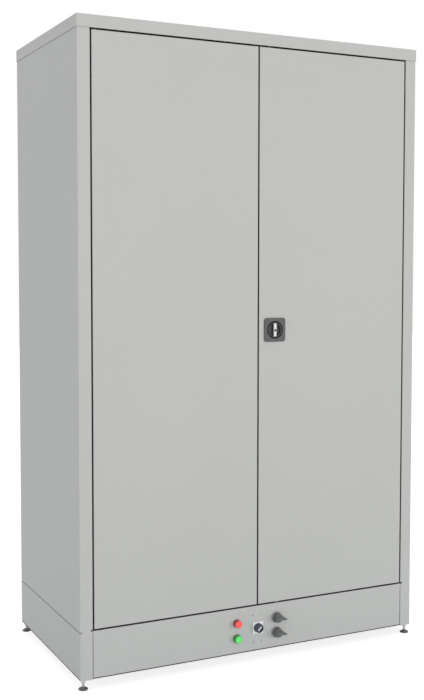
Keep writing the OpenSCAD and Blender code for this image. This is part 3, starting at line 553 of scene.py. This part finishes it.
@dataclass(frozen=True)
class PaintedMark(Finish):
    """A moulded bar in the knob's colour, painted along its middle."""

    centre: tuple[float, float, float] = (0.0, 0.0, 0.0)
    reach: float = 9.0 * MM
    ends: Colour = (0.022, 0.030, 0.055)
    sharpness: float = 2000.0
    grain: float = 300.0
    unevenness: tuple[float, float] = (0.1, -0.05)

    def build(self) -> bpy.types.Material:
        """Makes the material."""
        graph = self.graph()
        far = graph.vector("DISTANCE", graph.place(), self.centre, "Value")
        paint = ((self.reach - far) * self.sharpness).clamped()
        by_grain, shift = self.unevenness
        graph.set(Base_Color=graph.mix(paint, self.ends, self.colour),
                  Roughness=graph.noise(self.grain) * by_grain + (self.roughness + shift))
        return graph.material


@dataclass(frozen=True)
class SoftRubber(Finish):
    """Matt black rubber or foam with a fine skin."""

    grain: float = 900.0
    tones: tuple[float, float] = (0.7, 1.5)
    unevenness: tuple[float, float] = (0.2, -0.1)
    specular: float = 0.15
    depth: float = 0.0001

    def build(self) -> bpy.types.Material:
        """Makes the material."""
        graph = self.graph()
        skin = graph.noise(self.grain)
        by_skin, shift = self.unevenness
        graph.set(Base_Color=self.between(graph, skin, self.tones),
                  Roughness=skin * by_skin + (self.roughness + shift),
                  Specular_IOR_Level=self.specular)
        graph.bump(skin, strength=0.4, distance=self.depth)
        return graph.material


@dataclass(frozen=True)
class HotSteel(Finish):
    """Sheath steel of a heater, browned by heat in bands."""

    stains: float = 22.0
    grain: float = 700.0
    metal: float = 0.85
    unevenness: tuple[float, float] = (0.3, -0.15)
    depth: float = 0.0001
    bands: tuple[tuple[float, Colour], ...] = ((0.3, (0.10, 0.09, 0.09)),
                                               (0.55, (0.22, 0.16, 0.11)),
                                               (0.75, (0.14, 0.14, 0.17)))

    def build(self) -> bpy.types.Material:
        """Makes the material."""
        graph = self.graph()
        stain = graph.noise(self.stains, detail=4.0)
        by_stain, shift = self.unevenness
        tint = graph.add("ValToRGB", {"stops": self.bands}, {0: stain})
        graph.set(Base_Color=Signal(graph, tint.outputs[0]), Metallic=self.metal,
                  Roughness=stain * by_stain + (self.roughness + shift))
        graph.bump(graph.noise(self.grain, detail=2.0), strength=0.3, distance=self.depth)
        return graph.material


class Coat(Enum):
    """Every finish on the cabinet."""

    BODY = PowderCoat("body_powder_coat", (0.500, 0.504, 0.480), 0.58)
    # Painted shadow line along the base sheets' bottom edges, up to 35.2 mm.
    BASE = PowderCoat("base_powder_coat", (0.500, 0.504, 0.480), 0.58, shadow_line_top=35.2 * MM)
    INSIDE = PowderCoat("inner_powder_coat", (0.50, 0.505, 0.49), 0.46)
    # Near-black base tray: painted shade for the dark line under the base sheets.
    TRAY_PAINTED_SHADE = PowderCoat("base_tray_painted_shade", (0.014, 0.014, 0.015), 0.55)
    ZINC = ZincPlate("zinc_plate", (0.60, 0.61, 0.62), 0.42)
    STEEL = BrushedMetal("bright_steel", (0.56, 0.56, 0.57), 0.32)
    BLACKED = BrushedMetal("blackened_steel", (0.070, 0.070, 0.075), 0.42)
    BAR = BrushedMetal("drawn_steel_along_x", (0.66, 0.66, 0.67), 0.22, (0.02, 1.0, 1.0))
    PLATING = BrightPlate("grip_plating", (0.43, 0.43, 0.44), 0.38)
    DARK = MouldedPlastic("dark_moulding", (0.040, 0.042, 0.045), 0.50)
    LOCK = MouldedPlastic("lock_moulding", (0.072, 0.074, 0.072), 0.55)
    PAD = MouldedPlastic("foot_moulding", (0.110, 0.112, 0.112), 0.45)
    SWITCH = MouldedPlastic("switch_moulding", (0.100, 0.104, 0.102), 0.42)
    PLATE = MouldedPlastic("switch_plate_moulding", (0.40, 0.405, 0.39), 0.45)
    NAVY = MouldedPlastic("navy_knob", (0.022, 0.030, 0.055), 0.34, 900.0, 0.00004)
    WHITE = MouldedPlastic("white_moulding", (0.80, 0.80, 0.82), 0.40, 1100.0, 0.00004)
    NYLON = MouldedPlastic("natural_nylon", (0.70, 0.69, 0.64), 0.45, 800.0, 0.00004)
    RUBBER = SoftRubber("black_rubber", (0.018, 0.018, 0.018), 0.75)
    RING = SoftRubber("black_ring", (0.004, 0.004, 0.004), 0.85)
    INK = SoftRubber("printed_mark", (0.030, 0.030, 0.032), 0.6)
    HEATER = HotSteel("heater_sheath", (0.16, 0.14, 0.12), 0.45)


class Paintshop:
    """Makes each material once and hands it out."""

    def __init__(self) -> None:
        """Starts with no material made."""
        self._made: dict[str, bpy.types.Material] = {}

    def material(self, finish: Finish) -> bpy.types.Material:
        """Gives the material of a finish.

        Args:
            finish: The finish.

        Returns:
            Its material.
        """
        if finish.name not in self._made:
            self._made[finish.name] = finish.build()
        return self._made[finish.name]

    def dress(self, obj: bpy.types.Object, finish: Finish) -> None:
        """Gives an object one material all over.

        Args:
            obj: The object.
            finish: The finish.
        """
        obj.data.materials.clear()
        obj.data.materials.append(self.material(finish))

    def dress_nodes(self, coat: Coat, names: Iterable[str]) -> None:
        """Dresses CAD nodes.

        Args:
            coat: The finish.
            names: The nodes' names.
        """
        for name in names:
            self.dress(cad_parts[name], coat.value)


# ------------------------------------------------------------------ mesh tools


def smooth(obj: bpy.types.Object) -> None:
    """Shades every face of an object smooth.

    Args:
        obj: The object.
    """
    for face in obj.data.polygons:
        face.use_smooth = True


def soften(obj: bpy.types.Object, width: float, segments: int = 2) -> None:
    """Rounds an object's sharp edges with a bevel and evens its shading.

    Args:
        obj: The object.
        width: The bevel's width in metres.
        segments: Steps round each edge.
    """
    bevel = obj.modifiers.new("edge", "BEVEL")
    bevel.width = width
    bevel.segments = segments
    bevel.limit_method = "ANGLE"
    bevel.angle_limit = SHARP_ANGLE
    bevel.use_clamp_overlap = True
    bevel.harden_normals = False
    smooth(obj)
    normals = obj.modifiers.new("normals", "WEIGHTED_NORMAL")
    normals.keep_sharp = True


def make_object(name: str, bm: bmesh.types.BMesh) -> bpy.types.Object:
    """Makes an object of a bmesh and links it to the scene.

    Args:
        name: The object's name.
        bm: The mesh, which is freed.

    Returns:
        The object.
    """
    bmesh.ops.recalc_face_normals(bm, faces=bm.faces)
    mesh = bpy.data.meshes.new(name)
    bm.to_mesh(mesh)
    bm.free()
    obj = bpy.data.objects.new(name, mesh)
    bpy.context.scene.collection.objects.link(obj)
    return obj


def lathe(bm: bmesh.types.BMesh, profile: Sequence[tuple[float, float]], at: Vector,
          axis: Vector, steps: int = 24) -> None:
    """Turns a profile round an axis into a mesh.

    Args:
        bm: The mesh that it is added to.
        profile: Points of (radius, distance along the axis), starting and ending at radius 0
            for a solid.
        at: The place of distance 0 on the axis.
        axis: The axis.
        steps: Facets round the axis.
    """
    turn = axis.to_track_quat("Z", "Y").to_matrix()
    rings = []
    for radius, along in profile:
        if radius < ON_AXIS:
            rings.append([bm.verts.new(at + turn @ Vector((0.0, 0.0, along)))])
            continue
        rings.append([
            bm.verts.new(at + turn @ Vector((radius * math.cos(2 * math.pi * i / steps),
                                             radius * math.sin(2 * math.pi * i / steps), along)))
            for i in range(steps)
        ])
    for low, high in zip(rings, rings[1:]):
        for i in range(steps):
            j = (i + 1) % steps
            corners = [low[i % len(low)], low[j % len(low)],
                       high[j % len(high)], high[i % len(high)]]
            unique = list(dict.fromkeys(corners))
            if len(unique) > 2:
                bm.faces.new(unique)


def tile(bm: bmesh.types.BMesh, outline: Sequence[tuple[float, float]], y: float,
         thickness: float) -> None:
    """Raises a flat outline, seen from the front, into a thin plate.

    Args:
        bm: The mesh that it is added to.
        outline: Corner points of (x, z) in metres.
        y: The depth of its back face.
        thickness: How far it stands towards the front.
    """
    back = [bm.verts.new((x, y, z)) for x, z in outline]
    front = [bm.verts.new((x, y - thickness, z)) for x, z in outline]
    bm.faces.new(back)
    bm.faces.new(front)
    for i in range(len(outline)):
        j = (i + 1) % len(outline)
        bm.faces.new((back[i], back[j], front[j], front[i]))


def arc_band(centre: tuple[float, float], inner: float, outer: float, start: float, end: float,
             steps: int = 24) -> Outline:
    """Outline of a band along an arc, angles clockwise from the top.

    Args:
        centre: The arc's centre.
        inner: The inner radius.
        outer: The outer radius.
        start: The first angle in degrees.
        end: The last angle in degrees.
        steps: Pieces along the arc.

    Returns:
        The outline's points.
    """
    turns = [math.radians(start + (end - start) * i / steps) for i in range(steps + 1)]
    out = [(centre[0] + outer * math.sin(a), centre[1] + outer * math.cos(a)) for a in turns]
    back = [(centre[0] + inner * math.sin(a), centre[1] + inner * math.cos(a))
            for a in reversed(turns)]
    return out + back


def rectangle(centre: tuple[float, float], half_w: float, half_h: float) -> Outline:
    """Outline of a rectangle.

    Args:
        centre: Its middle.
        half_w: Half its width.
        half_h: Half its height.

    Returns:
        The outline's points.
    """
    x, z = centre
    return [(x - half_w, z - half_h), (x + half_w, z - half_h),
            (x + half_w, z + half_h), (x - half_w, z + half_h)]


def spaced(start: float, end: float, inset: float, count: int) -> list[float]:
    """Spaces places evenly between two ends.

    Args:
        start: The lower end.
        end: The upper end.
        inset: How far the first and last place keep from the ends.
        count: How many places.

    Returns:
        The places.
    """
    span = end - start - 2 * inset
    return [start + inset + span * i / (count - 1) for i in range(count)]


def middle(name: str) -> Vector:
    """Gives the middle of a CAD node's box.

    Args:
        name: The node's name.

    Returns:
        The point.
    """
    low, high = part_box(name)
    return (Vector(low) + Vector(high)) / 2


# --------------------------------------------------------------- sub-assemblies


@dataclass
class Shell:
    """Walls, roof, back and base sheets of the cabinet."""

    shop: Paintshop
    edge: float = 0.45 * MM
    outer: tuple[str, ...] = ("side_left", "side_right", "roof_cap")
    base: tuple[str, ...] = ("base_front", "base_sides")
    inner: tuple[str, ...] = ("back_panel", "front_header", "front_sill", "floor_grilles",
                              "hat_shelf", "base_back")
    zinc: tuple[str, ...] = ("roof_brace", "floor_beams", "shelf_ledges", "exhaust_spigot")
    tray: tuple[str, ...] = ("base_floor",)

    def build(self) -> None:
        """Dresses the sheets and rounds their folded edges."""
        self.shop.dress_nodes(Coat.BODY, self.outer)
        self.shop.dress_nodes(Coat.BASE, self.base)
        self.shop.dress_nodes(Coat.INSIDE, self.inner)
        self.shop.dress_nodes(Coat.ZINC, self.zinc)
        # The near-black tray is painted shade under the base sheets.
        self.shop.dress_nodes(Coat.TRAY_PAINTED_SHADE, self.tray)
        sheets = self.outer + self.base + self.inner + self.zinc + self.tray
        for name in sheets:
            soften(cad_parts[name], self.edge)
        LOG.info("shell: %d sheets", len(sheets))


@dataclass
class Fixings:
    """Screws that hold the sheets at the back, at the roof's lip and round the spigot."""

    shop: Paintshop
    head_r: float = 4.2 * MM
    head_h: float = 1.8 * MM
    sunk: float = 0.3 * MM
    facets: int = 16
    dome: tuple[tuple[float, float], ...] = ((1.0, 0.35), (0.86, 0.72), (0.55, 0.94),
                                             (0.42, 1.0), (0.30, 0.55), (0.0, 0.5))
    pitch: float = 0.18
    inset: float = 0.012
    row_end: float = 0.04
    top_clear: float = 0.05
    base_heads: int = 7
    lip_heads: int = 5
    lip_end: float = 0.1
    flange_heads: int = 6
    flange_inset: float = 0.009
    flange_h: float = 1.2 * MM

    def head(self, bm: bmesh.types.BMesh, at: Vector, axis: Vector) -> None:
        """Adds one domed head with a recess.

        Args:
            bm: The mesh that it is added to.
            at: The seat's centre.
            axis: The direction in which the head stands out.
        """
        base = [(0, -self.sunk), (self.head_r, -self.sunk)]
        dome = [(wide * self.head_r, tall * self.head_h) for wide, tall in self.dome]
        lathe(bm, base + dome, at, axis, self.facets)

    def back_rows(self, bm: bmesh.types.BMesh) -> None:
        """Adds the heads at the back: both edges of the panel, the base and the roof's lip."""
        low, high = (Vector(corner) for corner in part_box("back_panel"))
        rows = int((high.z - low.z - 2 * self.row_end) / self.pitch)
        for z in spaced(low.z, high.z, self.row_end, rows + 1):
            for x in (low.x + self.inset, high.x - self.inset):
                if z < high.z - self.top_clear:
                    self.head(bm, Vector((x, high.y, z)), BACK)
        low, high = (Vector(corner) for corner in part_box("base_back"))
        for x in spaced(low.x, high.x, self.inset, self.base_heads):
            for z in (low.z + self.inset, high.z - self.inset):
                self.head(bm, Vector((x, high.y, z)), BACK)
        low, high = (Vector(corner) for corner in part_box("roof_cap"))
        for x in spaced(low.x, high.x, self.lip_end, self.lip_heads):
            self.head(bm, Vector((x, high.y, (low.z + high.z) / 2)), BACK)

    def flange_ring(self, bm: bmesh.types.BMesh) -> None:
        """Adds the heads on the exhaust spigot's flange."""
        roof = Vector(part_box("roof_cap")[1])
        spigot = middle("exhaust_spigot")
        reach = (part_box("exhaust_spigot")[1][0] - spigot.x) - self.flange_inset
        for i in range(self.flange_heads):
            angle = math.radians(360 / self.flange_heads * (i + 0.5))
            at = Vector((spigot.x + reach * math.cos(angle), spigot.y + reach * math.sin(angle),
                         roof.z + self.flange_h))
            self.head(bm, at, UP)

    def build(self) -> None:
        """Makes the heads and fixes them to the cabinet."""
        bm = bmesh.new()
        self.back_rows(bm)
        self.flange_ring(bm)
        heads = make_object("sheet_screws", bm)
        smooth(heads)
        self.shop.dress(heads, Coat.STEEL.value)
        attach(heads, "cabinet")
        LOG.info("fixings: %d faces", len(heads.data.polygons))


@dataclass
class Doors:
    """Both leaves with their stiffeners, pivots and seals."""

    shop: Paintshop
    edge: float = 0.5 * MM
    small_edge: float = 0.4 * MM

    def build(self) -> None:
        """Dresses the leaves and what is on them."""
        leaves = ("door_left", "door_right")
        self.shop.dress_nodes(Coat.BODY, leaves)
        self.shop.dress_nodes(Coat.ZINC, ("door_left_brace", "door_right_brace", "lock_case"))
        self.shop.dress_nodes(Coat.BLACKED, ("door_left_pivots", "door_right_pivots"))
        self.shop.dress_nodes(Coat.STEEL, ("catch_plates",))
        self.shop.dress_nodes(Coat.RUBBER, ("door_left_seal", "stop_seals"))
        self.shop.dress_nodes(Coat.NYLON, ("lock_keeps", "rod_guides"))
        self.shop.dress_nodes(Coat.DARK, ("magnet_catches", "hinge_bushes"))
        for name in leaves + ("door_left_brace", "door_right_brace"):
            soften(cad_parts[name], self.edge)
        for name in ("door_left_pivots", "door_right_pivots", "hinge_bushes", "lock_keeps",
                     "rod_guides", "magnet_catches"):
            soften(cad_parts[name], self.small_edge)
        LOG.info("doors dressed")


@dataclass
class Lock:
    """Lock plate, rotor, grip, key barrel and the rod drive."""

    shop: Paintshop
    ring_r: float = 26.0 * MM
    ring_w: float = 1.8 * MM
    ring_up: float = 0.7 * MM
    ring_sunk: float = 1.0 * MM
    ring_round: float = 0.4 * MM
    ring_side: float = 0.4
    ring_facets: int = 64
    keyway_half: tuple[float, float] = (0.9 * MM, 3.2 * MM)
    keyway_up: float = 0.05 * MM
    edges: tuple[tuple[str, float, int], ...] = (  # node, width, segments
        ("lock_housing", 0.8 * MM, 3), ("lock_rotor", 0.5 * MM, 3),
        ("lock_grip", 1.2 * MM, 3), ("key_barrel", 0.3 * MM, 2))

    def rim(self) -> None:
        """Makes the black ring in the groove round the rotor."""
        bm = bmesh.new()
        centre = middle("lock_rotor")
        face_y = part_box("lock_housing")[0][1]
        inner, outer = self.ring_r - self.ring_w, self.ring_r + self.ring_w
        side = self.ring_side * self.ring_up
        lathe(bm, [(inner, -self.ring_sunk), (outer, -self.ring_sunk), (outer, side),
                   (outer - self.ring_round, self.ring_up), (inner + self.ring_round, self.ring_up),
                   (inner, side), (inner, -self.ring_sunk)],
              Vector((centre.x, face_y, centre.z)), FRONT, self.ring_facets)
        bmesh.ops.remove_doubles(bm, verts=bm.verts, dist=WELD)
        ring = make_object("lock_rim_ring", bm)
        smooth(ring)
        self.shop.dress(ring, Coat.RING.value)
        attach(ring, "door_right")

    def keyway_shade(self) -> None:
        """Makes a black patch on the key barrel's face: painted shade for the keyway."""
        bm = bmesh.new()
        spot = middle("key_barrel")
        face_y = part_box("key_barrel")[0][1]
        # A flat black patch stands in for the keyway's shade: painted shade.
        tile(bm, rectangle((spot.x, spot.z), *self.keyway_half), face_y, self.keyway_up)
        keyway_shade = make_object("key_barrel_keyway", bm)
        self.shop.dress(keyway_shade, Coat.RING.value)
        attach(keyway_shade, "lock_key")

    def build(self) -> None:
        """Dresses the lock and adds its ring and the keyway's painted shade."""
        self.shop.dress_nodes(Coat.LOCK, ("lock_housing", "lock_rotor"))
        self.shop.dress_nodes(Coat.PLATING, ("lock_grip",))
        self.shop.dress_nodes(Coat.STEEL, ("lock_pinion", "rod_top", "rod_bottom"))
        self.shop.dress_nodes(Coat.BLACKED, ("key_barrel",))
        for name, width, segments in self.edges:
            soften(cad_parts[name], width, segments)
        self.rim()
        self.keyway_shade()
        LOG.info("lock dressed")


@dataclass
class Controls:
    """Lamps, thermostat and switches on the base front, with their printed marks."""

    shop: Paintshop
    ink: float = 0.12 * MM
    red: Colour = (0.86, 0.055, 0.040)
    green: Colour = (0.045, 0.60, 0.075)
    lens_roughness: float = 0.22
    lens_glow: float = 0.35
    lens_edge: float = 0.8 * MM
    edge: float = 0.6 * MM
    ticks: range = range(-120, 121, 30)
    tick_r: tuple[float, float] = (15.9 * MM, 17.6 * MM)
    tick_half: float = 1.6
    zero_r: tuple[float, float] = (1.6 * MM, 2.6 * MM)
    zero_steps: int = 12
    one_half: tuple[float, float] = (0.6 * MM, 3 * MM)
    signs: tuple[tuple[str, float, float], ...] = (
        ("0", -18, 150), ("1", 13, 149), ("0", -15, 62), ("1", 14.5, 61))

    def lamps(self) -> None:
        """Dresses the two lenses."""
        for name, colour in (("lamp_red", self.red), ("lamp_green", self.green)):
            lens = Lens(name + "_lens", colour, self.lens_roughness, self.lens_glow,
                        centre=tuple(middle(name)))
            self.shop.dress(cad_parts[name], lens)
            soften(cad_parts[name], self.lens_edge, 3)

    def marks(self) -> None:
        """Prints the thermostat's scale and the 0 and 1 above and below it."""
        bm = bmesh.new()
        panel_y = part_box("base_front")[0][1]
        plate_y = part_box("thermostat_plate")[0][1]
        knob = middle("thermostat_knob")
        for angle in self.ticks:
            ends = (angle - self.tick_half, angle + self.tick_half)
            tile(bm, arc_band((knob.x, knob.z), *self.tick_r, *ends, steps=2), plate_y, self.ink)
        for sign, x, z in self.signs:
            spot = (x * MM, z * MM)
            if sign == "0":
                for half in ((0, 180), (180, 360)):
                    band = arc_band(spot, *self.zero_r, *half, self.zero_steps)
                    tile(bm, band, panel_y, self.ink)
            else:
                tile(bm, rectangle(spot, *self.one_half), panel_y, self.ink)
        marks = make_object("printed_marks", bm)
        self.shop.dress(marks, Coat.INK.value)
        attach(marks, "cabinet")

    def build(self) -> None:
        """Dresses the controls and prints the marks."""
        self.shop.dress_nodes(Coat.WHITE, ("thermostat_plate",))
        self.shop.dress(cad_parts["thermostat_pointer"],
                        PaintedMark("pointer_paint", (0.46, 0.47, 0.50), 0.4,
                                    tuple(middle("thermostat_pointer"))))
        self.shop.dress_nodes(Coat.NAVY, ("thermostat_knob",))
        self.shop.dress_nodes(Coat.SWITCH, ("switch_knob_upper", "switch_knob_lower"))
        self.shop.dress_nodes(Coat.PLATE, ("switch_plates",))
        self.shop.dress_nodes(Coat.DARK, ("control_bodies", "cable_gland"))
        for name in ("thermostat_plate", "thermostat_knob", "switch_knob_upper", "switch_knob_lower",
                     "switch_plates", "cable_gland"):
            soften(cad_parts[name], self.edge, 3)
        self.lamps()
        self.marks()
        LOG.info("controls dressed")


@dataclass
class Inside:
    """Rail, racks, heaters and fans."""

    shop: Paintshop
    edge: float = 0.5 * MM

    def build(self) -> None:
        """Dresses what is inside the cabinet and its base."""
        self.shop.dress_nodes(Coat.BAR, ("hanger_rail", "shoe_rack_lower", "shoe_rack_upper"))
        self.shop.dress_nodes(Coat.STEEL, ("rail_brackets",))
        self.shop.dress_nodes(Coat.HEATER, ("heaters",))
        self.shop.dress_nodes(Coat.DARK, ("fan_housings", "fan_left", "fan_right"))
        for name in ("rail_brackets", "fan_housings", "fan_left", "fan_right"):
            soften(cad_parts[name], self.edge)
        LOG.info("inside dressed")


@dataclass
class Feet:
    """Four levelling feet, with threads cut into their stems, and their coned nuts."""

    shop: Paintshop
    pitch: float = 1.25 * MM
    root: float = 3.5 * MM
    crest: float = 3.93 * MM
    steps: int = 20
    ridge_half: float = 0.45
    ridge_sunk: float = 0.1 * MM
    runout: float = 0.5 * MM
    edge: float = 0.5 * MM
    pad_facets: int = 48
    stem_facets: int = 32
    stem_z: float = 8.5 * MM
    thread_z: tuple[float, float] = (9.6 * MM, 36.0 * MM)
    pad: tuple[tuple[float, float], ...] = ((0.0, 0.0), (13.7, 0.0), (14.5, 0.8), (14.5, 3.5),
                                            (13.5, 4.5), (8.0, 6.5), (6.0, 9.0), (0.0, 9.0))
    names: tuple[str, ...] = ("foot_front_left", "foot_front_right",
                              "foot_rear_left", "foot_rear_right")

    def ridge(self, bm: bmesh.types.BMesh, centre: Vector) -> None:
        """Winds the thread's ridge round the stem.

        Args:
            bm: The mesh that it is added to.
            centre: A point on the stem's axis.
        """
        low_z, high_z = self.thread_z
        rows = int((high_z - low_z) / self.pitch * self.steps)
        sunk = self.root - self.ridge_sunk
        section = ((sunk, -self.ridge_half), (self.crest, 0.0), (sunk, self.ridge_half))
        previous = None
        for i in range(rows + 1):
            angle = 2 * math.pi * i / self.steps
            z = low_z + (high_z - low_z) * i / rows
            ring = [bm.verts.new((centre.x + radius * math.cos(angle),
                                  centre.y + radius * math.sin(angle), z + rise * self.pitch))
                    for radius, rise in section]
            if previous:
                for a, b in ((0, 1), (1, 2), (2, 0)):
                    bm.faces.new((previous[a], previous[b], ring[b], ring[a]))
            else:
                bm.faces.new(ring)
            previous = ring
        bm.faces.new(previous)

    def foot(self, name: str) -> None:
        """Makes one foot's pad and threaded stem in place of the plain CAD foot.

        Args:
            name: The foot's node and body.
        """
        centre = middle(name)
        floor = Vector((centre.x, centre.y, 0.0))
        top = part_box(name)[1][2]
        pad = bmesh.new()
        lathe(pad, [(r * MM, z * MM) for r, z in self.pad], floor, UP, self.pad_facets)
        stem = bmesh.new()
        high_z = self.thread_z[1]
        lathe(stem, [(0.0, self.stem_z), (self.root, self.stem_z), (self.root, high_z),
                     (self.crest, high_z + self.runout), (self.crest, top), (0.0, top)],
              floor, UP, self.stem_facets)
        self.ridge(stem, centre)
        for mesh, suffix, coat, slot in ((pad, "_pad", Coat.PAD, "plastic_dark"),
                                         (stem, "_stem", Coat.STEEL, "steel")):
            piece = make_object(name + suffix, mesh)
            self.shop.dress(piece, coat.value)
            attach(piece, name)
            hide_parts(name)
            if suffix == "_pad":
                soften(piece, self.edge, 3)

    def build(self) -> None:
        """Makes the feet and dresses their nuts."""
        self.shop.dress_nodes(Coat.STEEL, ("foot_sockets",))
        soften(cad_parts["foot_sockets"], self.edge)
        for name in self.names:
            self.foot(name)
        LOG.info("feet: %d", len(self.names))


# ---------------------------------------------------------------------- studio


@dataclass(frozen=True)
class Sun:
    """A far, soft light, at angles in degrees and with a power in watts per square metre.

    The side is counted from the front towards +X, the rise from the horizon, and the spread is
    the angle that the light fills in the sky.
    """

    name: str
    side: float
    rise: float
    spread: float
    power: float
    colour: Colour = (1.0, 1.0, 1.0)


WARM: Colour = (1.0, 0.995, 0.975)
COOL: Colour = (0.96, 0.98, 1.0)


@dataclass
class Studio:
    """Pale floor, soft lights and the photograph's camera."""

    eye: Vector = field(default_factory=lambda: Vector((-1.6474, -3.3523, 1.2651)))
    yaw: float = -26.470
    pitch: float = -3.198
    roll: float = -0.078
    lens: float = 56.05
    shift_x: float = -0.01296
    shift_y: float = -0.03035
    sensor: float = 36.0
    far: float = 100.0
    world_light: float = 0.55
    floor_half: float = 14.0
    floor_lit: tuple[Colour, Colour] = ((0.76, 0.79, 0.86), (0.45, 0.45, 0.45))
    floor_glow: tuple[Colour, Colour] = ((0.0, 0.0, 0.0), (0.80, 0.80, 0.80))
    suns: tuple[Sun, ...] = (Sun("key_light", 47.0, 2.5, 14.0, 0.95, WARM),
                             Sun("front_light", -6.0, 12.0, 24.0, 0.84, WARM),
                             Sun("fill_light", -84.0, 20.0, 40.0, 0.74, COOL),
                             Sun("rear_light", 165.0, 30.0, 40.0, 0.5))

    def camera(self) -> None:
        """Sets the camera at the photograph's place and angle."""
        data = bpy.data.cameras.new("photo_camera")
        data.lens = self.lens
        data.sensor_width = self.sensor
        data.shift_x = self.shift_x
        data.shift_y = self.shift_y
        data.clip_end = self.far
        camera = bpy.data.objects.new("photo_camera", data)
        turn = (Matrix.Rotation(math.radians(self.yaw), 4, "Z")
                @ Matrix.Rotation(math.radians(90 + self.pitch), 4, "X")
                @ Matrix.Rotation(math.radians(-self.roll), 4, "Z"))
        camera.matrix_world = Matrix.Translation(self.eye) @ turn
        bpy.context.scene.collection.objects.link(camera)
        bpy.context.scene.camera = camera

    def lamp(self, sun: Sun) -> None:
        """Adds a light.

        Args:
            sun: What it is like.
        """
        data = bpy.data.lights.new(sun.name, "SUN")
        data.angle = math.radians(sun.spread)
        data.energy = sun.power
        data.color = sun.colour
        lamp = bpy.data.objects.new(sun.name, data)
        turn, lift = math.radians(sun.side), math.radians(sun.rise)
        source = Vector((math.sin(turn) * math.cos(lift), -math.cos(turn) * math.cos(lift),
                         math.sin(lift)))
        lamp.rotation_euler = source.to_track_quat("Z", "Y").to_euler()
        bpy.context.scene.collection.objects.link(lamp)

    def world(self) -> None:
        """Lights the scene evenly, and is white for the camera, in reflections and through glass."""
        world = bpy.data.worlds.new("studio")
        world.use_nodes = True
        bpy.context.scene.world = world
        tree = world.node_tree
        tree.nodes.clear()
        path = tree.nodes.new("ShaderNodeLightPath")
        seen = path.outputs["Is Camera Ray"]
        for ray in ("Is Glossy Ray", "Is Transmission Ray"):
            either = tree.nodes.new("ShaderNodeMath")
            either.operation = "MAXIMUM"
            tree.links.new(seen, either.inputs[0])
            tree.links.new(path.outputs[ray], either.inputs[1])
            seen = either.outputs[0]
        strength = tree.nodes.new("ShaderNodeMapRange")
        strength.inputs["To Min"].default_value = self.world_light
        strength.inputs["To Max"].default_value = 1.0
        tree.links.new(seen, strength.inputs["Value"])
        back = tree.nodes.new("ShaderNodeBackground")
        back.inputs["Color"].default_value = (1.0, 1.0, 1.0, 1.0)
        tree.links.new(strength.outputs["Result"], back.inputs["Strength"])
        out = tree.nodes.new("ShaderNodeOutputWorld")
        tree.links.new(back.outputs[0], out.inputs["Surface"])

    def floor(self) -> None:
        """Lays the floor, which keeps the cabinet's shadow and looks white elsewhere."""
        bm = bmesh.new()
        corners = rectangle((0, 0), self.floor_half, self.floor_half)
        bm.faces.new([bm.verts.new((x, y, 0)) for x, y in corners])
        floor = make_object("studio_floor", bm)
        graph = Graph("studio_floor")
        path = graph.add("LightPath")
        seen = graph.maths("MAXIMUM", Signal(graph, path.outputs["Is Camera Ray"]),
                           Signal(graph, path.outputs["Is Glossy Ray"]))
        graph.set(Roughness=1.0, Specular_IOR_Level=0.0, Emission_Strength=1.0,
                  Base_Color=graph.mix(seen, *self.floor_lit),
                  Emission_Color=graph.mix(seen, *self.floor_glow))
        floor.data.materials.append(graph.material)

    def build(self) -> None:
        """Sets up the whole studio."""
        self.camera()
        self.world()
        self.floor()
        for sun in self.suns:
            self.lamp(sun)
        bpy.context.scene.view_settings.view_transform = "Standard"


def main() -> None:
    """Builds the cabinet's looks in order."""
    logging.basicConfig(level=logging.INFO, format="%(message)s")
    shop = Paintshop()
    Studio().build()
    for part in (Shell(shop), Fixings(shop), Doors(shop), Lock(shop), Controls(shop), Inside(shop),
                 Feet(shop)):
        part.build()


if __name__ == "__main__":
    main()
